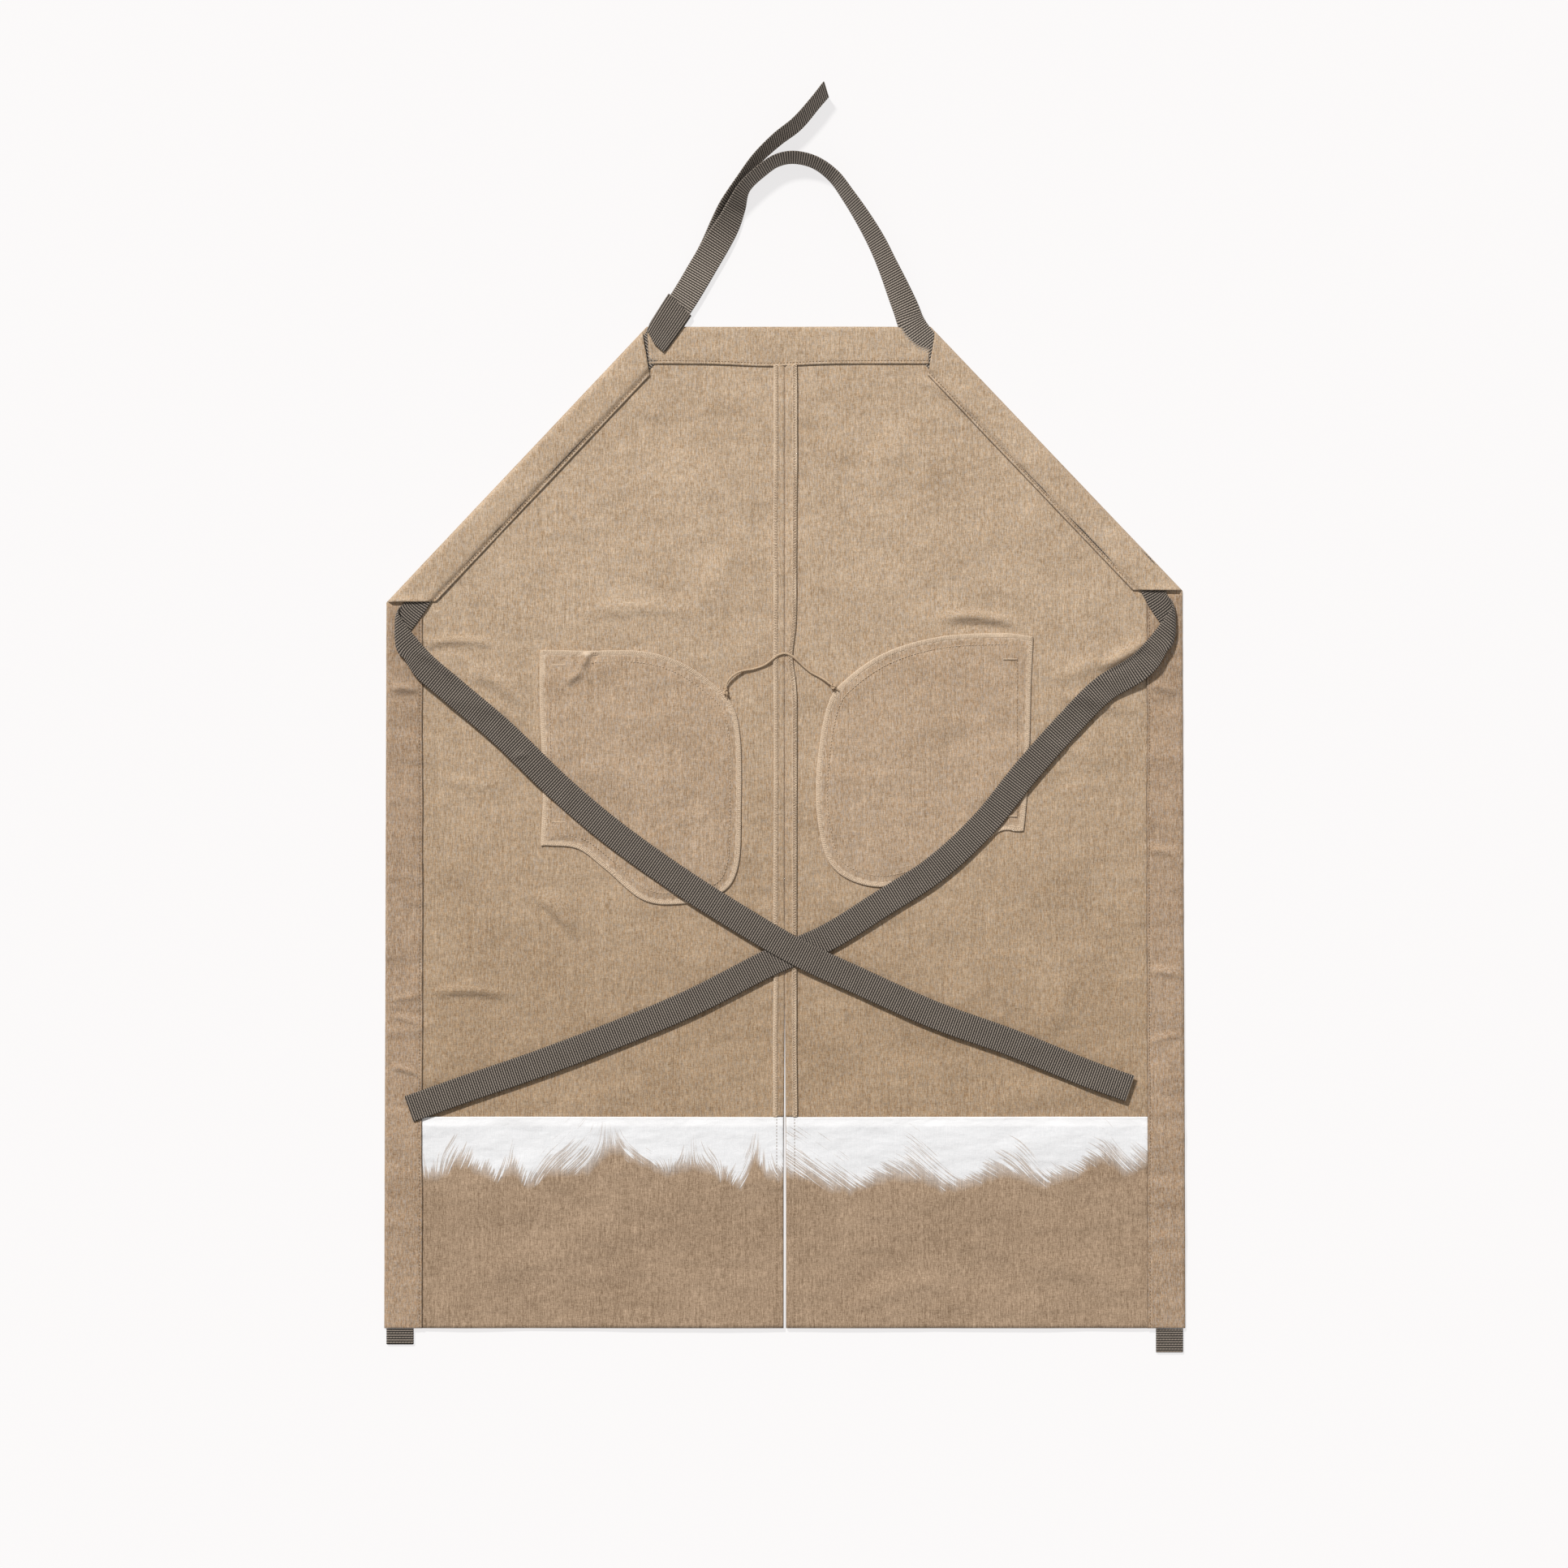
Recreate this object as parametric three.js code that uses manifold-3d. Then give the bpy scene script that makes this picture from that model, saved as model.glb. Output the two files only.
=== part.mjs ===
// A bib apron of chambray cloth, laid flat with the wearer's side up: X to the right, +Y towards
// the neck, +Z up, millimetres. Two front panels meet in a centre seam; webbing runs through the
// two slanting armhole casings, makes the neck loop above the bib and crosses as waist ties.
import * as THREE from "three";
import { mergeVertices } from "three/addons/utils/BufferGeometryUtils.js";
import Module from "manifold-3d";

const wasm = await Module();
wasm.setup();

// ---- Driving dimensions ----
const BODY_LENGTH = 924.8; // bib top to bottom hem
const BIB_TOP = 361.9; // height of the bib's top edge over the middle of the whole object
const HEM_HALF_WIDTH = 370; // half the width at the bottom hem
const CLOTH = 0.8; // one layer of cloth
const WEB = 1.2; // thickness of the webbing
const WEB_WIDTH = 25;
const GAP = 0.3; // clearance between layers that touch
const TURN_SLACK = 0.8; // clearance in the cloth's plane beside a strap that swings

const CASING_WIDTH = 33; // armhole casing, edge to stitched line
const TOP_HEM_DEPTH = 34.5;
const SIDE_HEM_WIDTH = 35;
const SIDE_HEM_NARROWING = 2; // the side hem runs out this much narrower at its top
const FACING_DEPTH = 195; // bottom hem facing
const ALLOWANCE_WIDTH = 11; // turned seam allowance beside the centre seam
const VENT_LENGTH = 297; // centre vent, up from the bottom hem
const VENT_WIDTH = 3;

const POCKET_OPENING = 145;
const POCKET_SLIT = 1.5;
const BARTACK_LENGTH = 12;
const BARTACK_WIDTH = 2.4;
const BARTACK_HEIGHT = 0.5;
const BARTACK_SET_IN = 6; // from the pocket's slit to the bartack

const CORD = 2; // diameter of the tie cord between the pocket bags
const KNOT_LENGTH = 7;
const KNOT_WIDTH = 4.6;

const NECK_HINGE_DROP = 33.4; // the neck webbing bends this far below the bib's top edge
const WAIST_HINGE_DROP = 3.2; // the waist ties bend this far under the lower casing's mouth
const HINGE_GAP_FIXED = 1.3; // from a bend line back to the webbing that stays put
const HINGE_GAP_MOVING = 0.4; // from a bend line on to the webbing that swings
const TAB_WIDTH = 25;
const TAB_INSET = 14.6; // from the side edge in to the middle of the tab under it

// How each half lies: the bib's corner, the armhole's lower corner and the pieces on that half.
// A pocket bag's outline is measured from the middle of its slit, outwards and up.
const HALVES = {
  left: {
    sign: -1,
    bibHalf: 127.5,
    corner: [367.9, 107.2],
    tabLength: 15.3,
    slitX: 221,
    slitMiddle: -23,
    bag: [
      [4.6, 83.5], [3, 86.2], [-4, 86.4], [-37, 85.6], [-87, 85.4], [-123, 76], [-154, 56],
      [-173, 35], [-180, 3], [-180.6, -59], [-178, -113], [-162, -138.6], [-123, -148.4],
      [-89, -144], [-55, -116], [-30, -97.4], [-3, -94.4], [3, -94], [4.2, -91], [2.6, -47],
      [4.4, 13], [5.6, 48],
    ],
  },
  right: {
    sign: 1,
    bibHalf: 134.7,
    corner: [367.5, 117.9],
    tabLength: 22.8,
    slitX: 219.8,
    slitMiddle: -17.6,
    bag: [
      [9.4, 90.5], [8, 93.4], [1.5, 94.6], [-20.8, 96.6], [-75.8, 93.4], [-124.8, 79.6],
      [-160.8, 56.2], [-179.8, 31.6], [-189.8, -22.4], [-189.8, -74.4], [-177.8, -117],
      [-147.8, -135.8], [-109.8, -135.4], [-59.8, -114.4], [-22.8, -87.4], [-6, -86.6],
      [-0.6, -86.4], [1, -83.5], [4.4, -45], [6.2, -7.4], [7.6, 50],
    ],
  },
};

// ---- Heights of the layers ----
const PANEL_TOP = CLOTH;
const TURNED = PANEL_TOP + GAP; // underside of a turned margin on the panel
const TURNED_TOP = TURNED + CLOTH;
const SECOND = TURNED_TOP + GAP; // underside of what lies on a turned margin
const SECOND_TOP = SECOND + CLOTH;
const STRAP_MID = SECOND + WEB / 2; // middle of the webbing inside the casings
const CASING_INSIDE = SECOND + WEB + GAP;
const CASING_TOP = CASING_INSIDE + CLOTH;
const LAYER_STEP = WEB + GAP; // one webbing on another
const HEM_LINE = BIB_TOP - BODY_LENGTH; // bottom edge of the panels
const NECK_HINGE = BIB_TOP - NECK_HINGE_DROP;
const WAIST_HINGE = Math.min(HALVES.left.corner[1], HALVES.right.corner[1]) - WAIST_HINGE_DROP;

// ---- Colours ----
const CLOTH_BEIGE = 0xb89c7f;
const CLOTH_DEEP = 0xa88c70;
const FACING_PALE = 0xd8d2ca;
const WEB_GREY = 0x6f665c;
const CORD_BEIGE = 0xb9a68c;
const THREAD_PALE = 0xcdbb9c;

const apron = new THREE.Group();

// The geometry with shared vertices merged and its faces turned outwards.
function closed(geometry) {
  const bare = geometry.clone();
  bare.deleteAttribute("normal");
  bare.deleteAttribute("uv");
  const merged = mergeVertices(bare, 1e-4);
  const p = merged.getAttribute("position");
  const index = merged.index.array;
  const a = new THREE.Vector3();
  const b = new THREE.Vector3();
  const c = new THREE.Vector3();
  let volume = 0;
  for (let i = 0; i < index.length; i += 3) {
    a.fromBufferAttribute(p, index[i]);
    b.fromBufferAttribute(p, index[i + 1]);
    c.fromBufferAttribute(p, index[i + 2]);
    volume += a.dot(b.cross(c));
  }
  if (volume < 0) {
    for (let i = 0; i < index.length; i += 3) {
      [index[i + 1], index[i + 2]] = [index[i + 2], index[i + 1]];
    }
  }
  return merged;
}

function piece(name, geometry, color, roughness = 0.9) {
  const body = closed(geometry);
  body.computeVertexNormals();
  const material = new THREE.MeshStandardMaterial({ color, roughness, metalness: 0 });
  const mesh = new THREE.Mesh(body, material);
  mesh.name = name;
  apron.add(mesh);
}

// A copy of the geometry with each vertex sent through place(vertex), which moves it.
function moved(geometry, place) {
  const p = geometry.getAttribute("position");
  const v = new THREE.Vector3();
  for (let i = 0; i < p.count; i++) {
    place(v.fromBufferAttribute(p, i));
    p.setXYZ(i, v.x, v.y, v.z);
  }
  return geometry;
}

// A flat plate over an outline [[x, y], ...], from height low to height high.
function plate(outline, low, high, holes = []) {
  const shape = new THREE.Shape(outline.map(([x, y]) => new THREE.Vector2(x, y)));
  for (const hole of holes) {
    shape.holes.push(new THREE.Path(hole.map(([x, y]) => new THREE.Vector2(x, y))));
  }
  const options = { depth: high - low, bevelEnabled: false, steps: 1 };
  return new THREE.ExtrudeGeometry(shape, options).translate(0, 0, low);
}

function solidOf(geometry) {
  const body = closed(geometry);
  const vertProperties = new Float32Array(body.getAttribute("position").array);
  const triVerts = new Uint32Array(body.index.array);
  return new wasm.Manifold(new wasm.Mesh({ numProp: 3, vertProperties, triVerts }));
}

function fromSolid(solid) {
  const { vertProperties, triVerts } = solid.getMesh();
  return new THREE.BufferGeometry()
    .setAttribute("position", new THREE.BufferAttribute(new Float32Array(vertProperties), 3))
    .setIndex(new THREE.BufferAttribute(new Uint32Array(triVerts), 1));
}

// Several overlapping solids as one.
function joined(geometries) {
  return fromSolid(geometries.map(solidOf).reduce((all, next) => all.add(next)));
}

const mirrored = (sign, outline) => outline.map(([x, y]) => [sign * x, y]);
const smooth = (t) => {
  const u = Math.min(1, Math.max(0, t));
  return u * u * (3 - 2 * u);
};
const mix = (a, b, t) => a + (b - a) * t;

// ---- Front panels ----
// The armhole's edge of one half: its upper and lower end, and the same line moved inwards.
function armhole(half, inward) {
  const top = new THREE.Vector2(half.bibHalf, BIB_TOP);
  const low = new THREE.Vector2(...half.corner);
  const along = low.clone().sub(top).normalize();
  const inwards = new THREE.Vector2(-along.y, along.x).multiplyScalar(-inward);
  return { top: top.add(inwards), low: low.add(inwards), along };
}

// The x where a half's armhole line, moved inwards, is at height y.
function armholeX(half, inward, y) {
  const { top, along } = armhole(half, inward);
  return top.x + (along.x / along.y) * (y - top.y);
}

// The height at which that line is at x.
function armholeY(half, inward, x) {
  const { top, along } = armhole(half, inward);
  return top.y + (along.y / along.x) * (x - top.x);
}

function frontPanel(side) {
  const half = HALVES[side];
  const outline = [
    [GAP / 2, BIB_TOP],
    [half.bibHalf, BIB_TOP],
    half.corner,
    [HEM_HALF_WIDTH, HEM_LINE],
    [VENT_WIDTH / 2, HEM_LINE],
    [VENT_WIDTH / 2, HEM_LINE + VENT_LENGTH / 2],
    [GAP / 2, HEM_LINE + VENT_LENGTH],
  ];
  const near = half.slitX - POCKET_SLIT / 2;
  const far = half.slitX + POCKET_SLIT / 2;
  const low = half.slitMiddle - POCKET_OPENING / 2;
  const high = half.slitMiddle + POCKET_OPENING / 2;
  const slit = [[near, low], [far, low], [far, high], [near, high]];
  const body = plate(mirrored(half.sign, outline), 0, PANEL_TOP, [mirrored(half.sign, slit)]);
  piece(side + "_front_panel", body, CLOTH_BEIGE);
}

// ---- Turned margins: bib hem, seam allowances, side hems and bottom facings ----
// The casing's upper mouth runs from the armhole's edge to the casing's stitched line.
const MOUTH_TOP_DROP = 4.5; // the upper mouth starts this far below the bib's top edge
const MOUTH_LOW_DROP = 45; // and ends this far below it, on the stitched line
const CASING_FOOT = 0.6; // the lower mouth stands this far above the armhole's lower corner

function upperMouth(half) {
  const outerY = BIB_TOP - MOUTH_TOP_DROP;
  const innerY = BIB_TOP - MOUTH_LOW_DROP;
  const outer = new THREE.Vector2(armholeX(half, 0, outerY), outerY);
  const inner = new THREE.Vector2(armholeX(half, CASING_WIDTH, innerY), innerY);
  return { outer, inner };
}

// The x of the upper mouth's line at height y.
function mouthX(half, y) {
  const { outer, inner } = upperMouth(half);
  return mix(outer.x, inner.x, (outer.y - y) / (outer.y - inner.y));
}

function bibTopHem() {
  const low = BIB_TOP - TOP_HEM_DEPTH;
  const { left, right } = HALVES;
  const outline = [
    [-left.bibHalf + GAP, BIB_TOP],
    [-mouthX(left, low) + TURN_SLACK, low],
    [mouthX(right, low) - TURN_SLACK, low],
    [Math.min(right.bibHalf - GAP, mouthX(right, BIB_TOP) - TURN_SLACK), BIB_TOP],
  ];
  piece("bib_top_hem", plate(outline, TURNED, TURNED_TOP), CLOTH_BEIGE);
}

const FACING_TOP = HEM_LINE + FACING_DEPTH;

function seamAllowance(side) {
  const { sign } = HALVES[side];
  const high = BIB_TOP - TOP_HEM_DEPTH - GAP;
  const low = FACING_TOP + GAP;
  const near = VENT_WIDTH / 2 + GAP;
  const outline = [
    [GAP / 2, high], [ALLOWANCE_WIDTH, high], [ALLOWANCE_WIDTH, low],
    [near, low], [near, HEM_LINE + VENT_LENGTH / 2], [GAP / 2, HEM_LINE + VENT_LENGTH],
  ];
  piece(side + "_seam_allowance", plate(mirrored(sign, outline), TURNED, TURNED_TOP), CLOTH_BEIGE);
}

const HEM_SET_IN = 0.4; // turned margins stop this far inside the panel's edge

// The outer edge of a half below the armhole, at height y.
function sideEdge(half, y) {
  const [x, top] = half.corner;
  return mix(x, HEM_HALF_WIDTH, (top - y) / (top - HEM_LINE));
}

function hemFacing(side) {
  const half = HALVES[side];
  const near = VENT_WIDTH / 2 + GAP;
  const outline = [
    [near, FACING_TOP],
    [sideEdge(half, FACING_TOP) - HEM_SET_IN, FACING_TOP],
    [sideEdge(half, HEM_LINE) - HEM_SET_IN, HEM_LINE],
    [near, HEM_LINE],
  ];
  piece(side + "_hem_facing", plate(mirrored(half.sign, outline), TURNED, TURNED_TOP), FACING_PALE);
}

const HEM_UNDER_CASING = 3; // the side hem starts this far under the armhole's lower corner
const HEM_STEP_LENGTH = 8; // the side hem climbs on to the facing over this length

function sideHem(side) {
  const half = HALVES[side];
  const high = half.corner[1] - HEM_UNDER_CASING;
  const steps = 40;
  const body = moved(new THREE.BoxGeometry(1, 1, 1, 1, steps, 1), (v) => {
    const y = mix(high, HEM_LINE, 0.5 - v.y);
    const share = (high - y) / (high - HEM_LINE);
    const width = SIDE_HEM_WIDTH - SIDE_HEM_NARROWING * (1 - share);
    const outer = sideEdge(half, y) - HEM_SET_IN;
    const climb = smooth((FACING_TOP + 2 * HEM_STEP_LENGTH - y) / HEM_STEP_LENGTH);
    const x = mix(outer, outer - width, v.x + 0.5);
    v.set(half.sign * x, y, TURNED + climb * (SECOND - TURNED) + CLOTH * (v.z + 0.5));
  });
  piece(side + "_side_hem", body, CLOTH_DEEP);
}

// ---- Armhole casings: a flat channel of cloth, stitched down on its inner side ----
function lowerMouth(half) {
  const y = half.corner[1] + CASING_FOOT;
  const outer = new THREE.Vector2(armholeX(half, 0, y), y);
  const inner = new THREE.Vector2(armholeX(half, CASING_WIDTH, y), y);
  return { outer, inner };
}

function casing(side) {
  const half = HALVES[side];
  const width = CASING_WIDTH;
  const section = new THREE.Shape([
    new THREE.Vector2(0, TURNED),
    new THREE.Vector2(0, CASING_TOP),
    new THREE.Vector2(width, CASING_TOP),
    new THREE.Vector2(width, TURNED),
    new THREE.Vector2(width - CLOTH, TURNED),
    new THREE.Vector2(width - CLOTH, CASING_INSIDE),
    new THREE.Vector2(CLOTH, CASING_INSIDE),
    new THREE.Vector2(CLOTH, TURNED),
  ]);
  const from = upperMouth(half);
  const to = lowerMouth(half);
  const length = new THREE.ExtrudeGeometry(section, { depth: 1, bevelEnabled: false });
  const body = moved(length, (v) => {
    const start = from.outer.clone().lerp(from.inner, v.x / width);
    const end = to.outer.clone().lerp(to.inner, v.x / width);
    const at = start.lerp(end, v.z);
    v.set(half.sign * at.x, at.y, v.y);
  });
  piece(side + "_armhole_casing", body, CLOTH_BEIGE);
}

// ---- Webbing inside the casings ----
// A half's casing webbing lies in the middle of its casing. It ends on the upper mouth's line and,
// at the waist, on the line where the tie bends, as wide as the tie that goes on from there.
const TIE_SET_IN = 28.9; // from the body's side in to the middle of the tie, where it bends
const TIE_HALF_CUT = WEB_WIDTH / Math.SQRT2; // half the tie's end, cut slanting at 45 degrees

function casingStrap(side) {
  const half = HALVES[side];
  const margin = (CASING_WIDTH - WEB_WIDTH) / 2;
  const outer = armhole(half, margin);
  const inner = armhole(half, margin + WEB_WIDTH);
  const meetsMouth = (line) => {
    const { outer: a, inner: b } = upperMouth(half);
    const across = b.clone().sub(a);
    const t = line.top.clone().sub(a).cross(line.along) / across.cross(line.along);
    return a.clone().addScaledVector(across, t);
  };
  const low = WAIST_HINGE + HINGE_GAP_FIXED;
  const mouth = lowerMouth(half).outer.y;
  const middle = half.corner[0] - TIE_SET_IN;
  const reach = middle + TIE_HALF_CUT;
  const outline = [
    meetsMouth(outer).toArray(),
    [reach, armholeY(half, margin, reach)],
    [reach, low],
    [middle - TIE_HALF_CUT, low],
    [armholeX(half, margin + WEB_WIDTH, mouth), mouth],
    meetsMouth(inner).toArray(),
  ];
  const body = plate(mirrored(half.sign, outline), STRAP_MID - WEB / 2, STRAP_MID + WEB / 2);
  piece(side + "_casing_strap", body, WEB_GREY);
}

// ---- Pocket bags, with the tie cord between them ----
function pocketBag(side) {
  const half = HALVES[side];
  const points = half.bag.map(([out, up]) => {
    return new THREE.Vector2(half.sign * (half.slitX + out), half.slitMiddle + up);
  });
  const outline = new THREE.SplineCurve([...points, points[0]]).getPoints(4 * points.length);
  const round = outline.slice(0, -1).map((p) => [p.x, p.y]);
  piece(side + "_pocket_bag_front", plate(round, TURNED, TURNED_TOP), CLOTH_BEIGE);
  piece(side + "_pocket_bag_back", plate(round, SECOND, SECOND_TOP), CLOTH_BEIGE);
}

function bartack(side, end, name) {
  const half = HALVES[side];
  const y = half.slitMiddle + (end * POCKET_OPENING) / 2;
  const bar = new THREE.CapsuleGeometry(BARTACK_WIDTH / 2, BARTACK_LENGTH - BARTACK_WIDTH, 3, 10);
  bar.rotateZ(Math.PI / 2);
  bar.scale(1, 1, BARTACK_HEIGHT / BARTACK_WIDTH);
  const inward = half.slitX - BARTACK_LENGTH / 2 - BARTACK_SET_IN;
  bar.translate(half.sign * inward, y, SECOND_TOP + GAP + BARTACK_HEIGHT / 2);
  piece(name, bar, THREAD_PALE);
}

// The cord rises from one pocket bag over the centre seam and ends on the other bag.
const CORD_ON_PANEL = PANEL_TOP + GAP + CORD / 2;
const CORD_ON_SEAM = TURNED_TOP + GAP + CORD / 2;
const CORD_ON_BAG = SECOND_TOP + GAP + CORD / 2;
const CORD_ROUTE = [
  [-54.4, 27.2, CORD_ON_BAG], [-53.6, 32.6, CORD_ON_BAG], [-49.5, 38.2, CORD_ON_BAG],
  [-44.5, 41.8, CORD_ON_BAG - 0.3], [-38.5, 44.2, CORD_ON_PANEL + 0.8],
  [-28, 46, CORD_ON_PANEL], [-18.5, 49.6, CORD_ON_PANEL + 0.2], [-11.5, 54.6, CORD_ON_SEAM],
  [-6, 58.6, CORD_ON_SEAM], [0, 60.2, CORD_ON_SEAM], [6, 58.2, CORD_ON_SEAM],
  [11.5, 54, CORD_ON_SEAM], [18, 47.6, CORD_ON_PANEL + 0.2], [25, 42.2, CORD_ON_PANEL],
  [31.5, 38.8, CORD_ON_PANEL + 0.4], [37, 35.6, CORD_ON_BAG - 0.3], [42.4, 31.4, CORD_ON_BAG],
];

function tieCord() {
  const route = new THREE.CatmullRomCurve3(CORD_ROUTE.map((p) => new THREE.Vector3(...p)));
  const section = new THREE.Shape();
  section.absarc(0, 0, CORD / 2, 0, 2 * Math.PI, false);
  const options = { steps: 44, curveSegments: 4, extrudePath: route, bevelEnabled: false };
  piece("pocket_tie_cord", new THREE.ExtrudeGeometry(section, options), CORD_BEIGE);
}

function cordKnot(name, end, beyond) {
  const [x, y] = CORD_ROUTE.at(end);
  const reach = KNOT_LENGTH / 2 + GAP;
  const knot = new THREE.SphereGeometry(0.5, 10, 8);
  knot.scale(KNOT_LENGTH, KNOT_WIDTH, KNOT_WIDTH);
  knot.rotateZ(Math.atan2(beyond[1], beyond[0]));
  const height = SECOND_TOP + GAP + KNOT_WIDTH / 2;
  knot.translate(x + reach * beyond[0], y + reach * beyond[1], height);
  piece(name, knot, CORD_BEIGE);
}

// ---- Free webbing ----
// A webbing carried along stations [x, y, lift, roll]: lift is the height of the edge it rests on
// (its middle when it lies flat), roll is how far, in degrees, it leans up on that edge. The high
// edge is on the side given by raised. The far end may be cut slanting: to moves one edge ahead of
// the other along the webbing, in millimetres for the whole width.
function webbing(stations, { raised, steps, across = 2, to = 0 }) {
  const points = stations.map(([x, y, lift]) => new THREE.Vector3(x, y, lift));
  const middle = new THREE.CatmullRomCurve3(points, false, "centripetal");
  const rolls = new THREE.SplineCurve(stations.map((s, i) => new THREE.Vector2(i, s[3])));
  const length = middle.getLength();
  const up = new THREE.Vector3(0, 0, 1);
  return moved(new THREE.BoxGeometry(1, 1, 1, steps, across, 1), (v) => {
    const t = v.x + 0.5;
    const cut = v.y * to * t * raised;
    const place = Math.min(1, Math.max(0, t + cut / length));
    const u = middle.getUtoTmapping(place);
    const at = middle.getPoint(u);
    const past = (t + cut / length - place) * length;
    const along = middle.getTangent(u);
    at.addScaledVector(along, past);
    const side = new THREE.Vector3().crossVectors(along, up).normalize().multiplyScalar(raised);
    const above = new THREE.Vector3().crossVectors(side, along).normalize().multiplyScalar(raised);
    const roll = THREE.MathUtils.degToRad(rolls.getPoint(u).y);
    const wide = side.clone().multiplyScalar(Math.cos(roll)).addScaledVector(above, Math.sin(roll));
    const thick = above.multiplyScalar(Math.cos(roll)).addScaledVector(side, -Math.sin(roll));
    at.z += (WEB_WIDTH / 2) * Math.sin(roll);
    v.copy(at.addScaledVector(wide, v.y * WEB_WIDTH).addScaledVector(thick, v.z * WEB));
  });
}

// Heights of the two webbings that lie on each other in the neck keeper.
const KEEPER_FLOOR = 0.7;
const KEEPER_WEB = KEEPER_FLOOR + WEB + GAP; // underside of the lower webbing
const LOWER_MID = KEEPER_WEB + WEB / 2;
const UPPER_MID = LOWER_MID + LAYER_STEP;
const TAIL_CUT = -6; // the tail's tip is cut slanting
const KEEPER_ROOF = UPPER_MID + WEB / 2 + GAP;

const LOW = WEB / 2 + 0.1; // webbing lying on the table
// Stations [x, up, lift, roll], x from the middle and up from the bib's top edge, for a bib that
// reaches STATION_LEFT and STATION_RIGHT. They spread with the bib's width.
const STATION_LEFT = 127.5;
const STATION_RIGHT = 134.7;
const NECK_STATIONS = [
  [136.5, -29, STRAP_MID, 0], [118.5, 0, STRAP_MID, 8], [111.4, 17.2, 2, 20],
  [95.3, 54.7, LOW, 45], [84.8, 77.2, LOW, 51], [72.8, 98.2, LOW, 57],
  [58.5, 120, LOW, 63], [45, 138, LOW, 66], [27.4, 150.7, LOW, 69],
  [7.5, 155.2, LOW, 69], [-7.5, 152.2, LOW, 69], [-20.6, 143.6, LOW, 68],
  [-36.4, 128.7, LOW, 66], [-45, 109.5, 1.4, 46], [-51.8, 94.5, 2.6, 32],
  [-61.5, 78.2, 3.6, 16], [-75.8, 54.7, 4.1, 2], [-91.3, 28.6, UPPER_MID, 0],
  [-105, 7.9, UPPER_MID, 0], [-117.4, -10.9, UPPER_MID, 0],
];
const TAIL_STATIONS = [
  [-93.9, 24.6, LOWER_MID, 0], [-80.4, 46.9, 1.4, 1], [-66.6, 71.7, LOW, 8],
  [-57.4, 94.1, LOW, 27], [-51.5, 112.1, LOW, 52], [-41.8, 132.1, LOW, 71],
  [-26.5, 153.1, LOW, 70], [-7.4, 171.6, LOW, 66], [11.4, 186.4, LOW, 64],
  [28.2, 205.7, LOW, 66], [38.2, 217.9, LOW, 64],
];

function spread(stations) {
  const { left, right } = HALVES;
  const wider = (left.bibHalf + right.bibHalf) / (STATION_LEFT + STATION_RIGHT);
  return stations.map(([x, up, ...rest]) => {
    return [(x + STATION_LEFT) * wider - left.bibHalf, BIB_TOP + up, ...rest];
  });
}

const CUT_REACH = 60; // a cutting outline reaches this far past what it cuts

// All that lies behind a casing's upper mouth or below the line where the neck webbing bends.
function behindMouth(side) {
  const half = HALVES[side];
  const high = BIB_TOP + CUT_REACH / 3;
  const bend = NECK_HINGE + HINGE_GAP_MOVING;
  const low = bend - CUT_REACH;
  const far = half.bibHalf + CUT_REACH;
  const near = half.bibHalf - CUT_REACH;
  const outline = [
    [mouthX(half, high) - TURN_SLACK, high], [far, high], [far, low], [near, low], [near, bend],
    [mouthX(half, bend) - TURN_SLACK, bend],
  ];
  return plate(mirrored(half.sign, outline), -CUT_REACH, CUT_REACH);
}

function cutOff(body, tool) {
  return fromSolid(solidOf(body).subtract(solidOf(tool)));
}

// The keeper: webbing folded round the two straps, its roof running on down over them.
const KEEPER_WALL = 1;
const FOLD_INSET = 0.2; // its sides stand this far in from the edges of its roof and floor
const KEEPER_STATIONS = [[-120.4, -15.4], [-96.8, 20.3]]; // foot and head of its middle line
const KEEPER_FOOT_HALF = 10; // half the roof's width at its foot
const KEEPER_HEAD_SLANT = 2.8; // the head's left end stands this far beyond its middle

// The keeper's middle line: from a to b, unit vector along and unit vector to the left.
function keeperLine() {
  const [a, b] = spread(KEEPER_STATIONS).map(([x, y]) => new THREE.Vector2(x, y));
  const along = b.clone().sub(a).normalize();
  return { a, b, along, left: new THREE.Vector2(-along.y, along.x) };
}

function neckKeeper() {
  const { a, b, along, left } = keeperLine();
  const half = WEB_WIDTH / 2 + GAP + KEEPER_WALL;
  const at = (from, out, ahead) =>
    from.clone().addScaledVector(left, out).addScaledVector(along, ahead).toArray();
  const headLeft = at(b, half, KEEPER_HEAD_SLANT);
  const headRight = at(b, -half, -KEEPER_HEAD_SLANT);
  const footLeft = at(a, KEEPER_FOOT_HALF, 0);
  const footRight = at(a, -KEEPER_FOOT_HALF, 0);
  const above = BIB_TOP + TURN_SLACK;
  const ahead = (out) => (above - at(a, out, 0)[1]) / along.y;
  const edge = (out) => at(a, out, ahead(out));
  const high = KEEPER_ROOF + WEB;
  const roof = plate([headLeft, edge(half), footLeft, footRight, edge(-half), headRight],
    KEEPER_ROOF, high);
  const floor = plate([headLeft, edge(half), edge(-half), headRight],
    KEEPER_FLOOR, KEEPER_WEB - GAP);
  const wall = (sign) => {
    const [outside, inside] = [sign * (half - FOLD_INSET), sign * (half - KEEPER_WALL)];
    const head = sign * KEEPER_HEAD_SLANT - 2 * FOLD_INSET;
    const foot = (out) => at(a, out, ahead(out) + FOLD_INSET);
    const corners = [at(b, outside, head), foot(outside), foot(inside), at(b, inside, head)];
    return plate(corners, KEEPER_FLOOR + WEB / 3, high - WEB / 3);
  };
  piece("neck_keeper", joined([roof, floor, wall(1), wall(-1)]), WEB_GREY);
}

const ADJUSTER_BACK = 40; // drawn this far back from the keeper's foot, then cut at the mouth

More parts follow.
